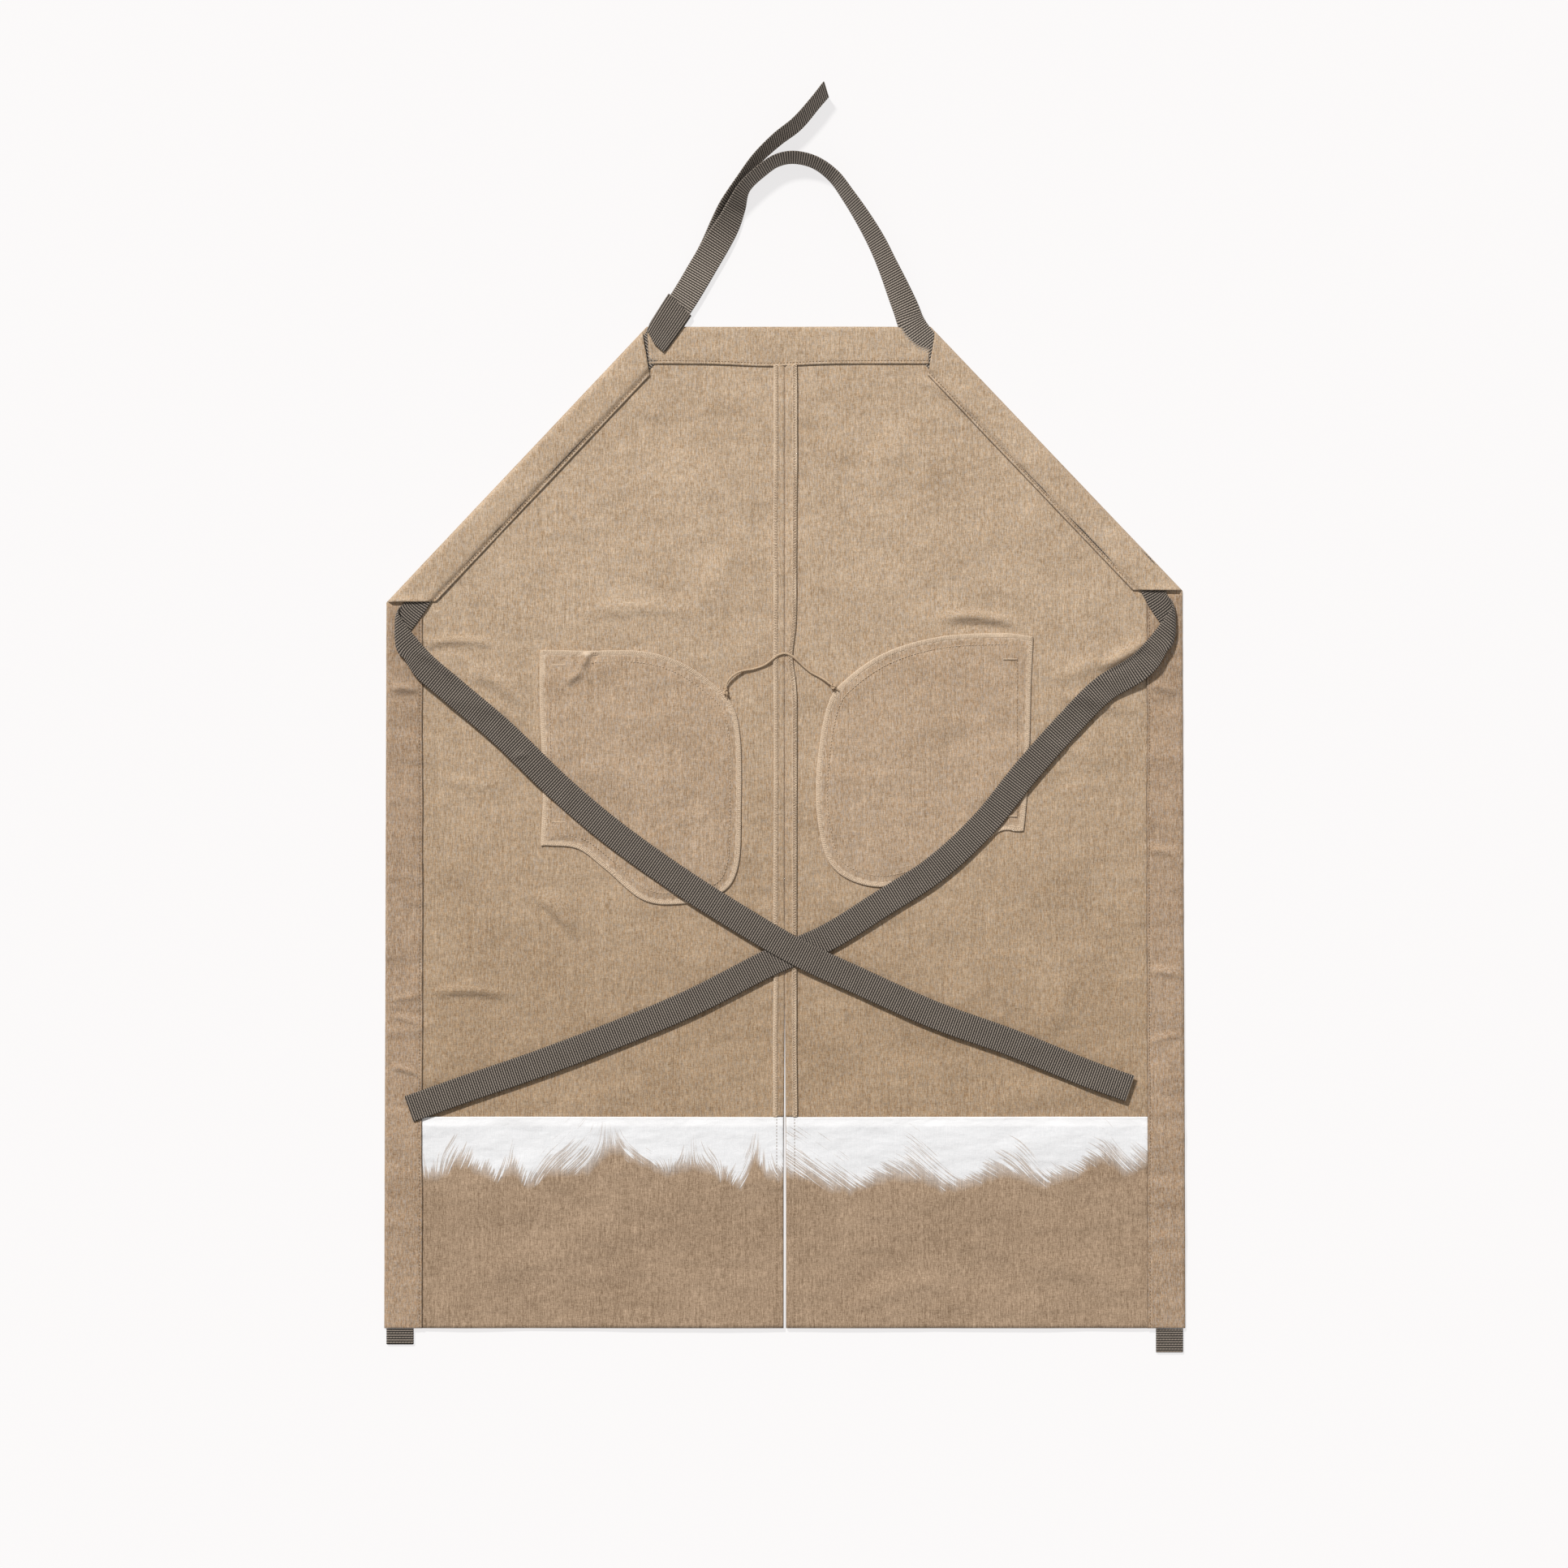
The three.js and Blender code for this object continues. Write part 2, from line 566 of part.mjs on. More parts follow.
// The left webbing goes on from its casing's mouth, flat, through the keeper.
function adjusterStrap() {
  const { a, b, along, left } = keeperLine();
  const at = (from, out, ahead) =>
    from.clone().addScaledVector(left, out).addScaledVector(along, ahead).toArray();
  const half = WEB_WIDTH / 2;
  const outline = [
    at(b, half, 0), at(a, half, -ADJUSTER_BACK), at(a, -half, -ADJUSTER_BACK), at(b, -half, 0),
  ];
  const whole = plate(outline, LOWER_MID - WEB / 2, LOWER_MID + WEB / 2);
  piece("adjuster_strap", cutOff(whole, behindMouth("left")), WEB_GREY);
}

function neckStrap() {
  const whole = webbing(spread(NECK_STATIONS), { raised: 1, steps: 64 });
  piece("neck_strap", cutOff(whole, behindMouth("right")), WEB_GREY);
}

function neckStrapTail() {
  const body = webbing(spread(TAIL_STATIONS), { raised: -1, steps: 30, to: TAIL_CUT });
  piece("neck_strap_tail", body, WEB_GREY);
}

// ---- Waist ties ----
// A tie leaves its casing outwards, folds over a line parallel to Y near the body's side and runs
// back across the body on top of itself. It is drawn unrolled, as stations [a, y] with a measured
// outwards past the fold line, and then wrapped: half a turn of radius turn round that line.
const SETTLE = 70; // the tie comes down from its fold over this length
const FOLD_SET_IN = 10.9; // the fold line lies this far inside the body's side
const FOLD_STRETCH = 70; // length of the finely divided stretch round the fold
const FOLD_STEPS = 0.5; // share of a tie's steps that fall on that stretch
const TIE_REST = SECOND_TOP + BARTACK_HEIGHT + 2 * GAP + WEB / 2; // over the pocket's bartacks
const TIES = {
  left: { turn: 2.5, rest: TIE_REST + LAYER_STEP },
  right: { turn: 4.2, rest: TIE_REST },
};
// Stations [in, down]: inwards from the body's side and down from the line where the ties bend.
const TIE_ROUTES = {
  left: [
    [29.6, 50.4], [59.9, 77], [105.9, 116], [159.9, 168], [205.9, 207], [266.9, 251],
    [329.9, 291], [381.9, 321], [437.9, 347], [505.9, 377.5], [576.9, 403], [645.9, 431],
    [686.4, 445.4],
  ],
  right: [
    [37.5, 54], [73.5, 77], [105.5, 109], [145.5, 154], [183.5, 201], [227.5, 242],
    [278, 275], [328.9, 306.5], [378.5, 328], [455.5, 367], [524.5, 396], [595.5, 423],
    [665.5, 447], [714.2, 464.4],
  ],
};

function waistTie(side) {
  const { sign, corner } = HALVES[side];
  const { turn, rest } = TIES[side];
  const fold = corner[0] - FOLD_SET_IN;
  const half = Math.PI * turn;
  const low = WAIST_HINGE - HINGE_GAP_MOVING;
  const stations = [[corner[0] - TIE_SET_IN - fold, low]];
  for (const [inward, down] of TIE_ROUTES[side]) {
    stations.push([half + fold - (corner[0] - inward), WAIST_HINGE - down]);
  }
  const middle = new THREE.CatmullRomCurve3(
    stations.map(([a, y]) => new THREE.Vector3(a, y, 0)), false, "centripetal",
  );
  const length = middle.getLength();
  const first = middle.getTangent(0);
  const slant = (WEB_WIDTH * first.x) / -first.y; // puts the cut end on the line where it bends
  const body = moved(new THREE.BoxGeometry(1, 1, 1, 52, 6, 1), (v) => {
    const t = v.x + 0.5;
    const cut = v.y * slant * Math.max(0, 1 - t / FOLD_STEPS);
    const s = t < FOLD_STEPS
      ? mix(0, FOLD_STRETCH, t / FOLD_STEPS)
      : mix(FOLD_STRETCH, length, (t - FOLD_STEPS) / (1 - FOLD_STEPS));
    const u = middle.getUtoTmapping(Math.min(1, Math.max(0, (s + cut) / length)));
    const at = middle.getPoint(u);
    const along = middle.getTangent(u);
    at.addScaledVector(along, Math.min(0, s + cut));
    const a = at.x - along.y * v.y * WEB_WIDTH;
    const y = at.y + along.x * v.y * WEB_WIDTH;
    const thick = v.z * WEB;
    let out = a;
    let z = STRAP_MID + thick;
    if (a > half) {
      out = half - a;
      const sink = smooth((a - half) / SETTLE) * (STRAP_MID + 2 * turn - rest);
      z = STRAP_MID + 2 * turn - thick - sink;
    } else if (a > 0) {
      out = (turn - thick) * Math.sin(a / turn);
      z = STRAP_MID + turn - (turn - thick) * Math.cos(a / turn);
    }
    v.set(sign * (fold + out), y, z);
  });
  piece(side + "_waist_tie", body, WEB_GREY);
}

// ---- Tabs under the side hems: a short webbing loop on each, pivoting on its rounded root ----
const TAB_SLOT = 0.6;
const TAB_RADIUS = WEB + TAB_SLOT / 2;
const TAB_PIVOT_Y = HEM_LINE - GAP - TAB_RADIUS;

function hemTab(side) {
  const half = HALVES[side];
  const reach = half.tabLength - 2 * TAB_RADIUS;
  const outer = new THREE.Shape();
  outer.absarc(0, 0, TAB_RADIUS, -Math.PI / 2, Math.PI / 2, false);
  outer.absarc(-reach, 0, TAB_RADIUS, Math.PI / 2, (3 * Math.PI) / 2, false);
  const slot = new THREE.Path();
  slot.absarc(0, 0, TAB_SLOT / 2, -Math.PI / 2, Math.PI / 2, false);
  slot.absarc(-reach, 0, TAB_SLOT / 2, Math.PI / 2, (3 * Math.PI) / 2, false);
  outer.holes.push(slot);
  const options = { depth: TAB_WIDTH, bevelEnabled: false, curveSegments: 6 };
  const body = moved(new THREE.ExtrudeGeometry(outer, options), (v) => {
    const x = half.sign * (HEM_HALF_WIDTH - TAB_INSET) + v.z - TAB_WIDTH / 2;
    v.set(x, TAB_PIVOT_Y + v.x, TAB_RADIUS + v.y);
  });
  piece(side + "_hem_tab", body, WEB_GREY);
}

// ---- The apron ----
for (const side of ["left", "right"]) {
  frontPanel(side);
  seamAllowance(side);
  hemFacing(side);
  sideHem(side);
  casing(side);
  casingStrap(side);
  pocketBag(side);
  bartack(side, 1, side + "_upper_bartack");
  bartack(side, -1, side + "_lower_bartack");
  waistTie(side);
  hemTab(side);
}
bibTopHem();
tieCord();
cordKnot("left_cord_knot", 0, [0, -1]);
cordKnot("right_cord_knot", -1, [0.8, -0.6]);
neckKeeper();
adjusterStrap();
neckStrap();
neckStrapTail();

// The origin is under the middle of the whole object's box, on the table.
const box = new THREE.Box3().setFromObject(apron);
const centre = box.getCenter(new THREE.Vector3());
apron.position.set(-centre.x, -centre.y, -box.min.z);

export default apron;
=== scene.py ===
"""A bib apron of beige chambray laid flat on a pale table, with the wearer's side up.

Lengths are millimetres in the working arrays and metres in the meshes. X runs to the right of the
centre seam, +Y to the neck and +Z up, off the table.
"""

import math

import bpy
import numpy as np
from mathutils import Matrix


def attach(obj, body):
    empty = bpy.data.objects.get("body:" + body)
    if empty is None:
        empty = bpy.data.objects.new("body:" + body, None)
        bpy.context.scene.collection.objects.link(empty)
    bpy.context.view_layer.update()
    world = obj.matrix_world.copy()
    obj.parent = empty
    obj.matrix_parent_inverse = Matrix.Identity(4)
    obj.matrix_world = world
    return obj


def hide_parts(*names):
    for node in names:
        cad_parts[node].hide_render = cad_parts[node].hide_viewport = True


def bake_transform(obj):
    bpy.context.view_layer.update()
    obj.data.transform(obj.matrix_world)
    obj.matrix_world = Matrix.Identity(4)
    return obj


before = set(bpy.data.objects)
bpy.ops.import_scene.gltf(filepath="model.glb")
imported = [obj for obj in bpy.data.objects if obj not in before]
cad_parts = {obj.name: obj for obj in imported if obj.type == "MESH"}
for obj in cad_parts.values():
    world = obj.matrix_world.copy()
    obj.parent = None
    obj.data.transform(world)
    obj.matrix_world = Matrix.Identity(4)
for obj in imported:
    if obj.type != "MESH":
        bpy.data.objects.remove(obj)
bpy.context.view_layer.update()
MM = 0.001

# ---- Sizes of the apron, the same as the solids' ----
LENGTH_UP = 0.0322  # the whole part is moved this much up, so its box is centred
BIB_TOP = 361.9
HEM_LINE = -562.9
HEM_HALF = 370.0
CLOTH = 0.8
WEB = 1.2
WEB_WIDTH = 25.0
CASING_WIDTH = 33.0
TOP_HEM = 34.5
SIDE_HEM = 35.0
FACING_TOP = HEM_LINE + 195.0
VENT_TOP = HEM_LINE + 297.0
STRAP_MID = 2.8
WAIST_BEND = 104.0
POCKET_OPENING = 145.0
POCKET_SLIT = 1.5
VENT_OPEN = HEM_LINE + 148.5  # the vent is at its full width up to here
PANEL_TOP = 1.95  # height of a layer turned on to the panel, over the cloth's underside
SIDE_GAP = 0.4  # a turned layer stops this far inside the body's edge
TAB_CENTRE = 355.4
TIE_FOLD = 10.9  # the waist ties fold over this far inside the body's corners
HEM_STITCH, CASING_STITCH, TOP_STITCH = 2.6, 2.7, 3.1  # from a turned layer's inner edge
BAG_SEAM = 10.5  # from a pocket bag's edge
CASED_TOP = 78  # the flat webbing in a casing starts this far below the bib's top
CASED_FOOT = 42  # and stops this far before its foot


class Half:
    """One half of the apron: sign is -1 on the left and 1 on the right."""

    def __init__(self, name, sign, bib, corner, slit, slit_middle, allowance, vent_seam, tab, bag):
        self.name = name
        self.sign = sign
        self.bib = bib
        self.corner = corner
        self.slit = slit
        self.slit_middle = slit_middle
        self.allowance = allowance  # its width, how much its edge stands up, its threads' height
        self.vent_seam = vent_seam  # from the centre seam to the stitches beside the vent
        self.tab = tab  # length of the tab under the side hem
        self.bag = np.array(bag, float) * [sign, 1] + [sign * slit, slit_middle]

    def armhole(self, inward):
        """Top and foot of the armhole's edge moved inwards, and its unit direction downwards."""
        top = np.array([self.bib, BIB_TOP])
        foot = np.array(self.corner)
        along = (foot - top) / np.linalg.norm(foot - top)
        inwards = np.array([along[1], -along[0]]) * inward
        return top + inwards, foot + inwards, along

    def armhole_x(self, inward, y):
        top, _, along = self.armhole(inward)
        return top[0] + along[0] / along[1] * (y - top[1])

    def side(self, y):
        """Distance of the half's outer edge from the centre seam at height y."""
        x, top = self.corner
        low = x + (HEM_HALF - x) * np.clip((top - y) / (top - HEM_LINE), 0, 1)
        return np.where(y > top, self.armhole_x(0, y), low)

    def mouth(self):
        """Outer and inner end of the casing's upper mouth."""
        high, low = BIB_TOP - 4.5, BIB_TOP - 45.0
        return np.array([[self.armhole_x(0, high), high], [self.armhole_x(CASING_WIDTH, low), low]])

    def mouth_x(self, y):
        (x0, y0), (x1, y1) = self.mouth()
        return x0 + (x1 - x0) * (y0 - y) / (y0 - y1)


LEFT = Half("left", -1, 127.5, (367.9, 107.2), 221.0, -23.0, (10.6, 0.7, 2.65), 7.5, 15.3, [
    (4.6, 83.5), (3, 86.2), (-4, 86.4), (-37, 85.6), (-87, 85.4), (-123, 76), (-154, 56),
    (-173, 35), (-180, 3), (-180.6, -59), (-178, -113), (-162, -138.6), (-123, -148.4),
    (-89, -144), (-55, -116), (-30, -97.4), (-3, -94.4), (3, -94), (4.2, -91), (2.6, -47),
    (4.4, 13), (5.6, 48)])
RIGHT = Half("right", 1, 134.7, (367.5, 117.9), 219.8, -17.6, (11.2, 1.1, 3.0), 9.0, 22.8, [
    (9.4, 90.5), (8, 93.4), (1.5, 94.6), (-20.8, 96.6), (-75.8, 93.4), (-124.8, 79.6),
    (-160.8, 56.2), (-179.8, 31.6), (-189.8, -22.4), (-189.8, -74.4), (-177.8, -117),
    (-147.8, -135.8), (-109.8, -135.4), (-59.8, -114.4), (-22.8, -87.4), (-6, -86.6),
    (-0.6, -86.4), (1, -83.5), (4.4, -45), (6.2, -7.4), (7.6, 50)])
HALVES = (LEFT, RIGHT)


# ---- Numbers in the plane ----
def smooth(t):
    """Smoothstep: 3 t squared minus 2 t cubed, with t held from 0 to 1."""
    t = np.clip(t, 0, 1)
    return t * t * (3 - 2 * t)


def lattice(x, y, cell, seed, count=64):
    """Value noise: random heights from -1 to 1 on a square lattice of the given cell size,
    joined by smoothstep in x and in y."""
    heights = np.random.default_rng(seed).uniform(-1, 1, (count, count))
    u, v = np.asarray(x) / cell, np.asarray(y) / cell
    i, j = np.floor(u).astype(int), np.floor(v).astype(int)
    a, b = smooth(u - i), smooth(v - j)
    i0, i1, j0, j1 = i % count, (i + 1) % count, j % count, (j + 1) % count
    low = heights[i0, j0] * (1 - a) + heights[i1, j0] * a
    high = heights[i0, j1] * (1 - a) + heights[i1, j1] * a
    return low * (1 - b) + high * b


# Creases pressed into the cloth: from, to, width and height in millimetres. A crease is a ridge
# whose height falls off as a bell across it and fades at both ends.
CREASES = [
    ((-334, 70), (-262, 66), 2.9, 3.2), ((-332, 63), (-285, 59), 3.4, -1.6),
    ((-300, 50), (-236, 8), 8.1, 3.0), ((-296, 40), (-240, -2), 6.3, -1.4),
    ((-330, 20), (-236, -6), 7.2, 1.7), ((-345, 66), (-300, 30), 3.4, 1.9),
    ((-366, 29), (-337, 24), 3.1, 3.0), ((-366, 20), (-340, 16), 3.1, -1.6),
    ((-335, -254), (-244, -259), 3.2, 2.7), ((-330, -262), (-250, -266), 3.4, -1.2),
    ((-366, -321), (-337, -331), 2.9, 3.5), ((-232, -158), (-190, -205), 7.2, 3.9),
    ((-236, -168), (-200, -204), 4.2, -2.2), ((-368, -275), (-332, -284), 3.4, 2.7),
    ((-368, -262), (-334, -258), 3.4, 1.8), ((-250, -60), (-330, -52), 6.3, 1.7),
    ((-252, -36), (-236, -34), 3.0, 1.9), ((340, 78), (285, 46), 5.1, 4.1),
    ((332, 66), (280, 36), 4.2, -2.0), ((300, 62), (236, 34), 7.2, 2.1),
    ((136, 93), (222, 85), 4.2, 4.1), ((140, 84), (218, 77), 4.2, -1.9),
    ((262, -225), (240, -300), 9.9, 2.5), ((240, 20), (330, 2), 7.2, 2.1),
    ((236, -20), (300, -48), 6.3, 1.7), ((-120, 255), (-60, 150), 16.2, 2.3),
    ((110, 285), (66, 190), 15.3, 2.2), ((-40, 190), (-90, 90), 13.5, 1.7),
    ((30, 290), (60, 230), 9.9, 1.5), ((-150, 300), (-110, 270), 6.3, 1.7),
    ((120, 318), (180, 270), 5.1, 2.2), ((170, -360), (330, -345), 11.7, 1.8),
    ((-300, -520), (-180, -505), 12.6, 1.7), ((200, -500), (330, -535), 11.7, 1.7),
    ((60, -540), (170, -520), 9.9, 1.6), ((-200, 96), (-60, 92), 6.3, 1.8),
    ((-120, -190), (-40, -300), 13.5, 2.1), ((60, -200), (120, -310), 14.4, 2.2),
    ((336, 30), (366, 22), 3.4, 2.4), ((334, -120), (368, -128), 3.8, 2.4),
    ((336, -232), (369, -240), 3.4, 2.4), ((334, -300), (369, -292), 3.4, 1.9),
]


def crease(x, y, start, end, width, height):
    """Bell across the line from start to end, times a fade over the last third at each end."""
    start, end = np.array(start, float), np.array(end, float)
    length = np.linalg.norm(end - start)
    along = (end - start) / length
    s = (x - start[0]) * along[0] + (y - start[1]) * along[1]
    d = (y - start[1]) * along[0] - (x - start[0]) * along[1]
    bow = 0.06 * length * np.sin(math.pi * np.clip(s / length, 0, 1))
    fade = smooth(s / (0.35 * length)) * smooth((length - s) / (0.35 * length))
    return height * fade * np.exp(-(((d - bow) / width) ** 2))


def lift(x, y):
    """Height of the cloth's underside over the table: broad lattice noise, creases and small
    ripples along the side hems, never below the table."""
    x, y = np.asarray(x, float), np.asarray(y, float)
    z = 1.9 + 0.8 * lattice(x, y, 95, 1) + 0.75 * lattice(x * 0.75, y * 1.2, 36, 2)
    z += 0.22 * lattice(x * 0.7, y * 1.3, 14, 3)
    for one in CREASES:
        z = z + crease(x, y, *one)
    hem = smooth((np.abs(x) - 322) / 14)
    ripple = 0.75 * lattice(x * 0.30 + 0.5 * y, y, 12, 5) * hem * smooth((WAIST_BEND - y) / 30)
    return np.maximum(0.05, z + ripple)


def lengths_along(points):
    """Distance along a polyline at each of its points."""
    return np.concatenate([[0], np.cumsum(np.linalg.norm(np.diff(points, axis=0), axis=1))])


def read_off(s, gone, values):
    """Each column of values, known at distances gone, at the distances s."""
    return np.stack([np.interp(s, gone, column) for column in values.T], -1)


def unit(vectors):
    return vectors / np.maximum(np.linalg.norm(vectors, axis=1, keepdims=True), 1e-9)


def through(points, step):
    """Positions and unit directions at even steps along a centripetal Catmull-Rom curve."""
    p = np.array(points, float)
    p = np.vstack([2 * p[0] - p[1], p, 2 * p[-1] - p[-2]])
    k = np.sqrt(np.linalg.norm(np.diff(p, axis=0), axis=1))
    t = np.concatenate([[0], np.cumsum(k)])
    rows = []
    for i in range(1, len(p) - 2):
        u = np.linspace(t[i], t[i + 1], 40, endpoint=False)[:, None]
        rows.append(catmull(p[i - 1:i + 3], t[i - 1:i + 3], u))
    line = np.vstack(rows + [p[-2][None]])
    gone = lengths_along(line)
    s = np.linspace(0, gone[-1], max(4, int(round(gone[-1] / step)) + 1))
    at = read_off(s, gone, line)
    return at, unit(np.gradient(at, s, axis=0)), s


def catmull(p, t, u):
    """Barry and Goldman's form: three rounds of straight blends between the four points."""
    def blend(a, b, ta, tb):
        return (tb - u) / (tb - ta) * a + (u - ta) / (tb - ta) * b
    a = [blend(p[i], p[i + 1], t[i], t[i + 1]) for i in range(3)]
    b = [blend(a[i], a[i + 1], t[i], t[i + 2]) for i in range(2)]
    return blend(b[0], b[1], t[1], t[2])


# ---- Meshes ----
def put_mesh(name, points, faces, material, attributes=None, uv=None, shade_smooth=True):
    """A mesh object from points in millimetres and arrays of faces, one array per face size.
    uv gives a pair per point; attributes a number per point."""
    mesh = bpy.data.meshes.new(name)
    corners = np.concatenate([f.reshape(-1) for f in faces]).astype(np.int32)
    sizes = np.concatenate([np.full(len(f), f.shape[1], np.int32) for f in faces])
    mesh.vertices.add(len(points))
    mesh.vertices.foreach_set("co", ((points + [0, LENGTH_UP, 0]) * MM).astype(np.float32).ravel())
    mesh.loops.add(len(corners))
    mesh.loops.foreach_set("vertex_index", corners)
    mesh.polygons.add(len(sizes))
    mesh.polygons.foreach_set("loop_start", np.concatenate([[0], np.cumsum(sizes)[:-1]]).astype(np.int32))
    mesh.polygons.foreach_set("use_smooth", np.full(len(sizes), shade_smooth))
    mesh.update(calc_edges=True)
    mesh.validate()
    for key, values in (attributes or {}).items():
        layer = mesh.attributes.new(key, "FLOAT", "POINT")
        layer.data.foreach_set("value", values.astype(np.float32).ravel())
    if uv is not None:
        layer = mesh.uv_layers.new(name="Run")
        layer.data.foreach_set("uv", uv[corners].astype(np.float32).ravel())
    made = bpy.data.objects.new(name, mesh)
    bpy.context.scene.collection.objects.link(made)
    mesh.materials.append(material)
    return made


def grid_faces(rows, columns, keep=None, wrap=False):
    """Quads of a grid of points, counter-clockwise where columns run right and rows run up."""
    i, j = np.meshgrid(np.arange(rows - 1), np.arange(columns - (0 if wrap else 1)), indexing="ij")
    n = (j + 1) % columns
    quads = np.stack([i * columns + j, i * columns + n, (i + 1) * columns + n, (i + 1) * columns + j], -1)
    return quads.reshape(-1, 4) if keep is None else quads[keep]


def thicken(points, faces, thickness):
    """The surface, a copy moved down its normals by thickness, and a rim along every open edge."""
    count = len(points)
    normal = np.zeros_like(points)
    for f in faces:
        a, b = points[f[:, 2]] - points[f[:, 0]], points[f[:, -1]] - points[f[:, 1]]
        face = np.cross(a, b)
        for k in range(f.shape[1]):
            np.add.at(normal, f[:, k], face)
    normal = unit(normal)
    edges = np.concatenate([
        np.stack([f[:, k], f[:, (k + 1) % f.shape[1]]], 1) for f in faces for k in range(f.shape[1])])
    open_edge = ~np.isin(edges[:, 0] * count + edges[:, 1], edges[:, 1] * count + edges[:, 0])
    a, b = edges[open_edge].T
    rim = np.stack([b, a, a + count, b + count], 1)
    body = list(faces) + [f[:, ::-1] + count for f in faces] + [rim]
    return np.vstack([points, points - normal * thickness]), body


def sheet_of(name, grid, thickness, material, keep=None, attributes=None, wrap=False, pole=False, uv=None):
    """A closed piece of cloth whose upper face is the grid of points (rows, columns, 3)."""
    rows, columns = grid.shape[:2]
    points = grid.reshape(-1, 3)
    faces = [grid_faces(rows, columns, keep, wrap)]
    if pole:
        j = np.arange(columns)
        middle = points[:columns].mean(0, keepdims=True)
        points = np.vstack([points, middle])
        faces.append(np.stack([np.full(columns, len(points) - 1), (j + 1) % columns, j], 1))
    extra = [0.0] if pole else []
    used = {k: np.tile(np.concatenate([v.ravel(), extra]), 2) for k, v in (attributes or {}).items()}
    if uv is not None:
        uv = np.tile(uv.reshape(-1, 2), (2, 1))
    points, faces = thicken(points, faces, thickness)
    return put_mesh(name, points, faces, material, used, uv)


def on_cloth(plane, height):
    """Points (..., 2) in the plane raised to height over the cloth."""
    z = lift(plane[..., 0], plane[..., 1]) + height
    return np.concatenate([plane, z[..., None]], -1)


def evenly(points, step, closed=False):
    """A polyline resampled at even steps."""
    p = np.array(points, float)
    if closed:
        p = np.vstack([p, p[:1]])
    gone = lengths_along(p)
    count = max(2, int(round(gone[-1] / step)) + 1)
    s = np.linspace(0, gone[-1], count)
    if closed:
        s = s[:-1]
    return read_off(s, gone, p)


# ---- Finishes ----
class Nodes:
    """A material under construction: short calls that add a node and join it up."""

    def __init__(self, name, roughness, sheen=0.0):
        self.material = bpy.data.materials.new(name)
        self.material.use_nodes = True
        self.tree = self.material.node_tree
        self.shader = self.tree.nodes["Principled BSDF"]
        self.shader.inputs["Roughness"].default_value = roughness
        self.shader.inputs["Specular IOR Level"].default_value = 0.25
        if sheen:
            self.shader.inputs["Sheen Weight"].default_value = sheen
            self.shader.inputs["Sheen Roughness"].default_value = 0.5

    def add(self, kind, settings=None, **inputs):
        node = self.tree.nodes.new(kind)
        for key, value in (settings or {}).items():
            setattr(node, key, value)
        for key, value in inputs.items():
            numbered = key[0] == "i" and key[1:].isdigit()
            self.join(value, node.inputs[int(key[1:]) if numbered else key.replace("_", " ")])
        return node

    def join(self, value, socket):
        """Another node's output, or a plain value, into a socket."""
        if isinstance(value, bpy.types.NodeSocket):
            self.tree.links.new(value, socket)
        else:
            socket.default_value = value

    def math(self, operation, a, b=0.0, c=0.0):
        return self.add("ShaderNodeMath", {"operation": operation}, i0=a, i1=b, i2=c).outputs[0]

    def noise(self, where, scale, detail=2.0, roughness=0.5, stretch=(1, 1, 1)):
        placed = self.add("ShaderNodeMapping", Vector=where, Scale=stretch).outputs[0]
        node = self.add("ShaderNodeTexNoise", Vector=placed, Scale=scale, Detail=detail, Roughness=roughness)
        return node.outputs["Fac"]

    def attribute(self, name):
        return self.add("ShaderNodeAttribute", {"attribute_name": name}).outputs["Fac"]

    def blend_colour(self, share, a, b, kind="MIX"):
        node = self.add("ShaderNodeMix", {"data_type": "RGBA", "blend_type": kind})
        for socket, value in ((0, share), (6, a), (7, b)):
            self.join(value, node.inputs[socket])
        return node.outputs[2]

    def spread(self, value, low, high):
        """value taken from low..high to 0..1 and held there."""
        node = self.add("ShaderNodeMapRange", {"clamp": True}, Value=value, From_Min=low, From_Max=high)
        return node.outputs[0]

    def colour(self, socket):
        self.tree.links.new(socket, self.shader.inputs["Base Color"])

    def bump(self, height, strength, distance):
        node = self.add("ShaderNodeBump", Strength=strength, Distance=distance, Height=height)
        self.tree.links.new(node.outputs[0], self.shader.inputs["Normal"])


def rgb(r, g, b):
    """A display colour of 0 to 255 as a linear colour."""
    channels = [v / 255 for v in (r, g, b)]
    return (*[v / 12.92 if v < 0.04045 else ((v + 0.055) / 1.055) ** 2.4 for v in channels], 1.0)


def chambray_threads(n, where):
    """The weave's tone: short warp streaks along Y and weft streaks along X, long slubs now and
    then in the warp, and flecks where the threads cross, with a trace of uneven dyeing."""
    parts = (
        (n.noise(where, 1500, 2, 0.7, (1, 0.11, 1)), 0.38),
        (n.noise(where, 900, 2, 0.5, (1, 0.015, 1)), 0.13),
        (n.noise(where, 1500, 2, 0.7, (0.16, 1, 1)), 0.23),
        (n.noise(where, 1700, 2, 0.7), 0.26))
    total = 0.0
    for part, share in parts:
        total = n.math("MULTIPLY_ADD", part, share, total)
    cloud = n.math("SUBTRACT", n.noise(where, 16, 3, 0.55), 0.5)
    return n.spread(n.math("MULTIPLY_ADD", cloud, 0.09, total), 0.41, 0.64), total


def soft_bump(n, where, threads):
    """Relief of the cloth: its threads over small soft puckers of two sizes, wider than tall."""
    pucker = n.noise(where, 42, 2, 0.5, (0.55, 1.1, 1))
    small = n.noise(where, 120, 2, 0.5, (0.6, 1.1, 1))
    height = n.math("MULTIPLY_ADD", small, 0.55, n.math("MULTIPLY", pucker, 2.2))
    n.bump(n.math("MULTIPLY_ADD", threads, 0.45, height), 1.0, 0.001)


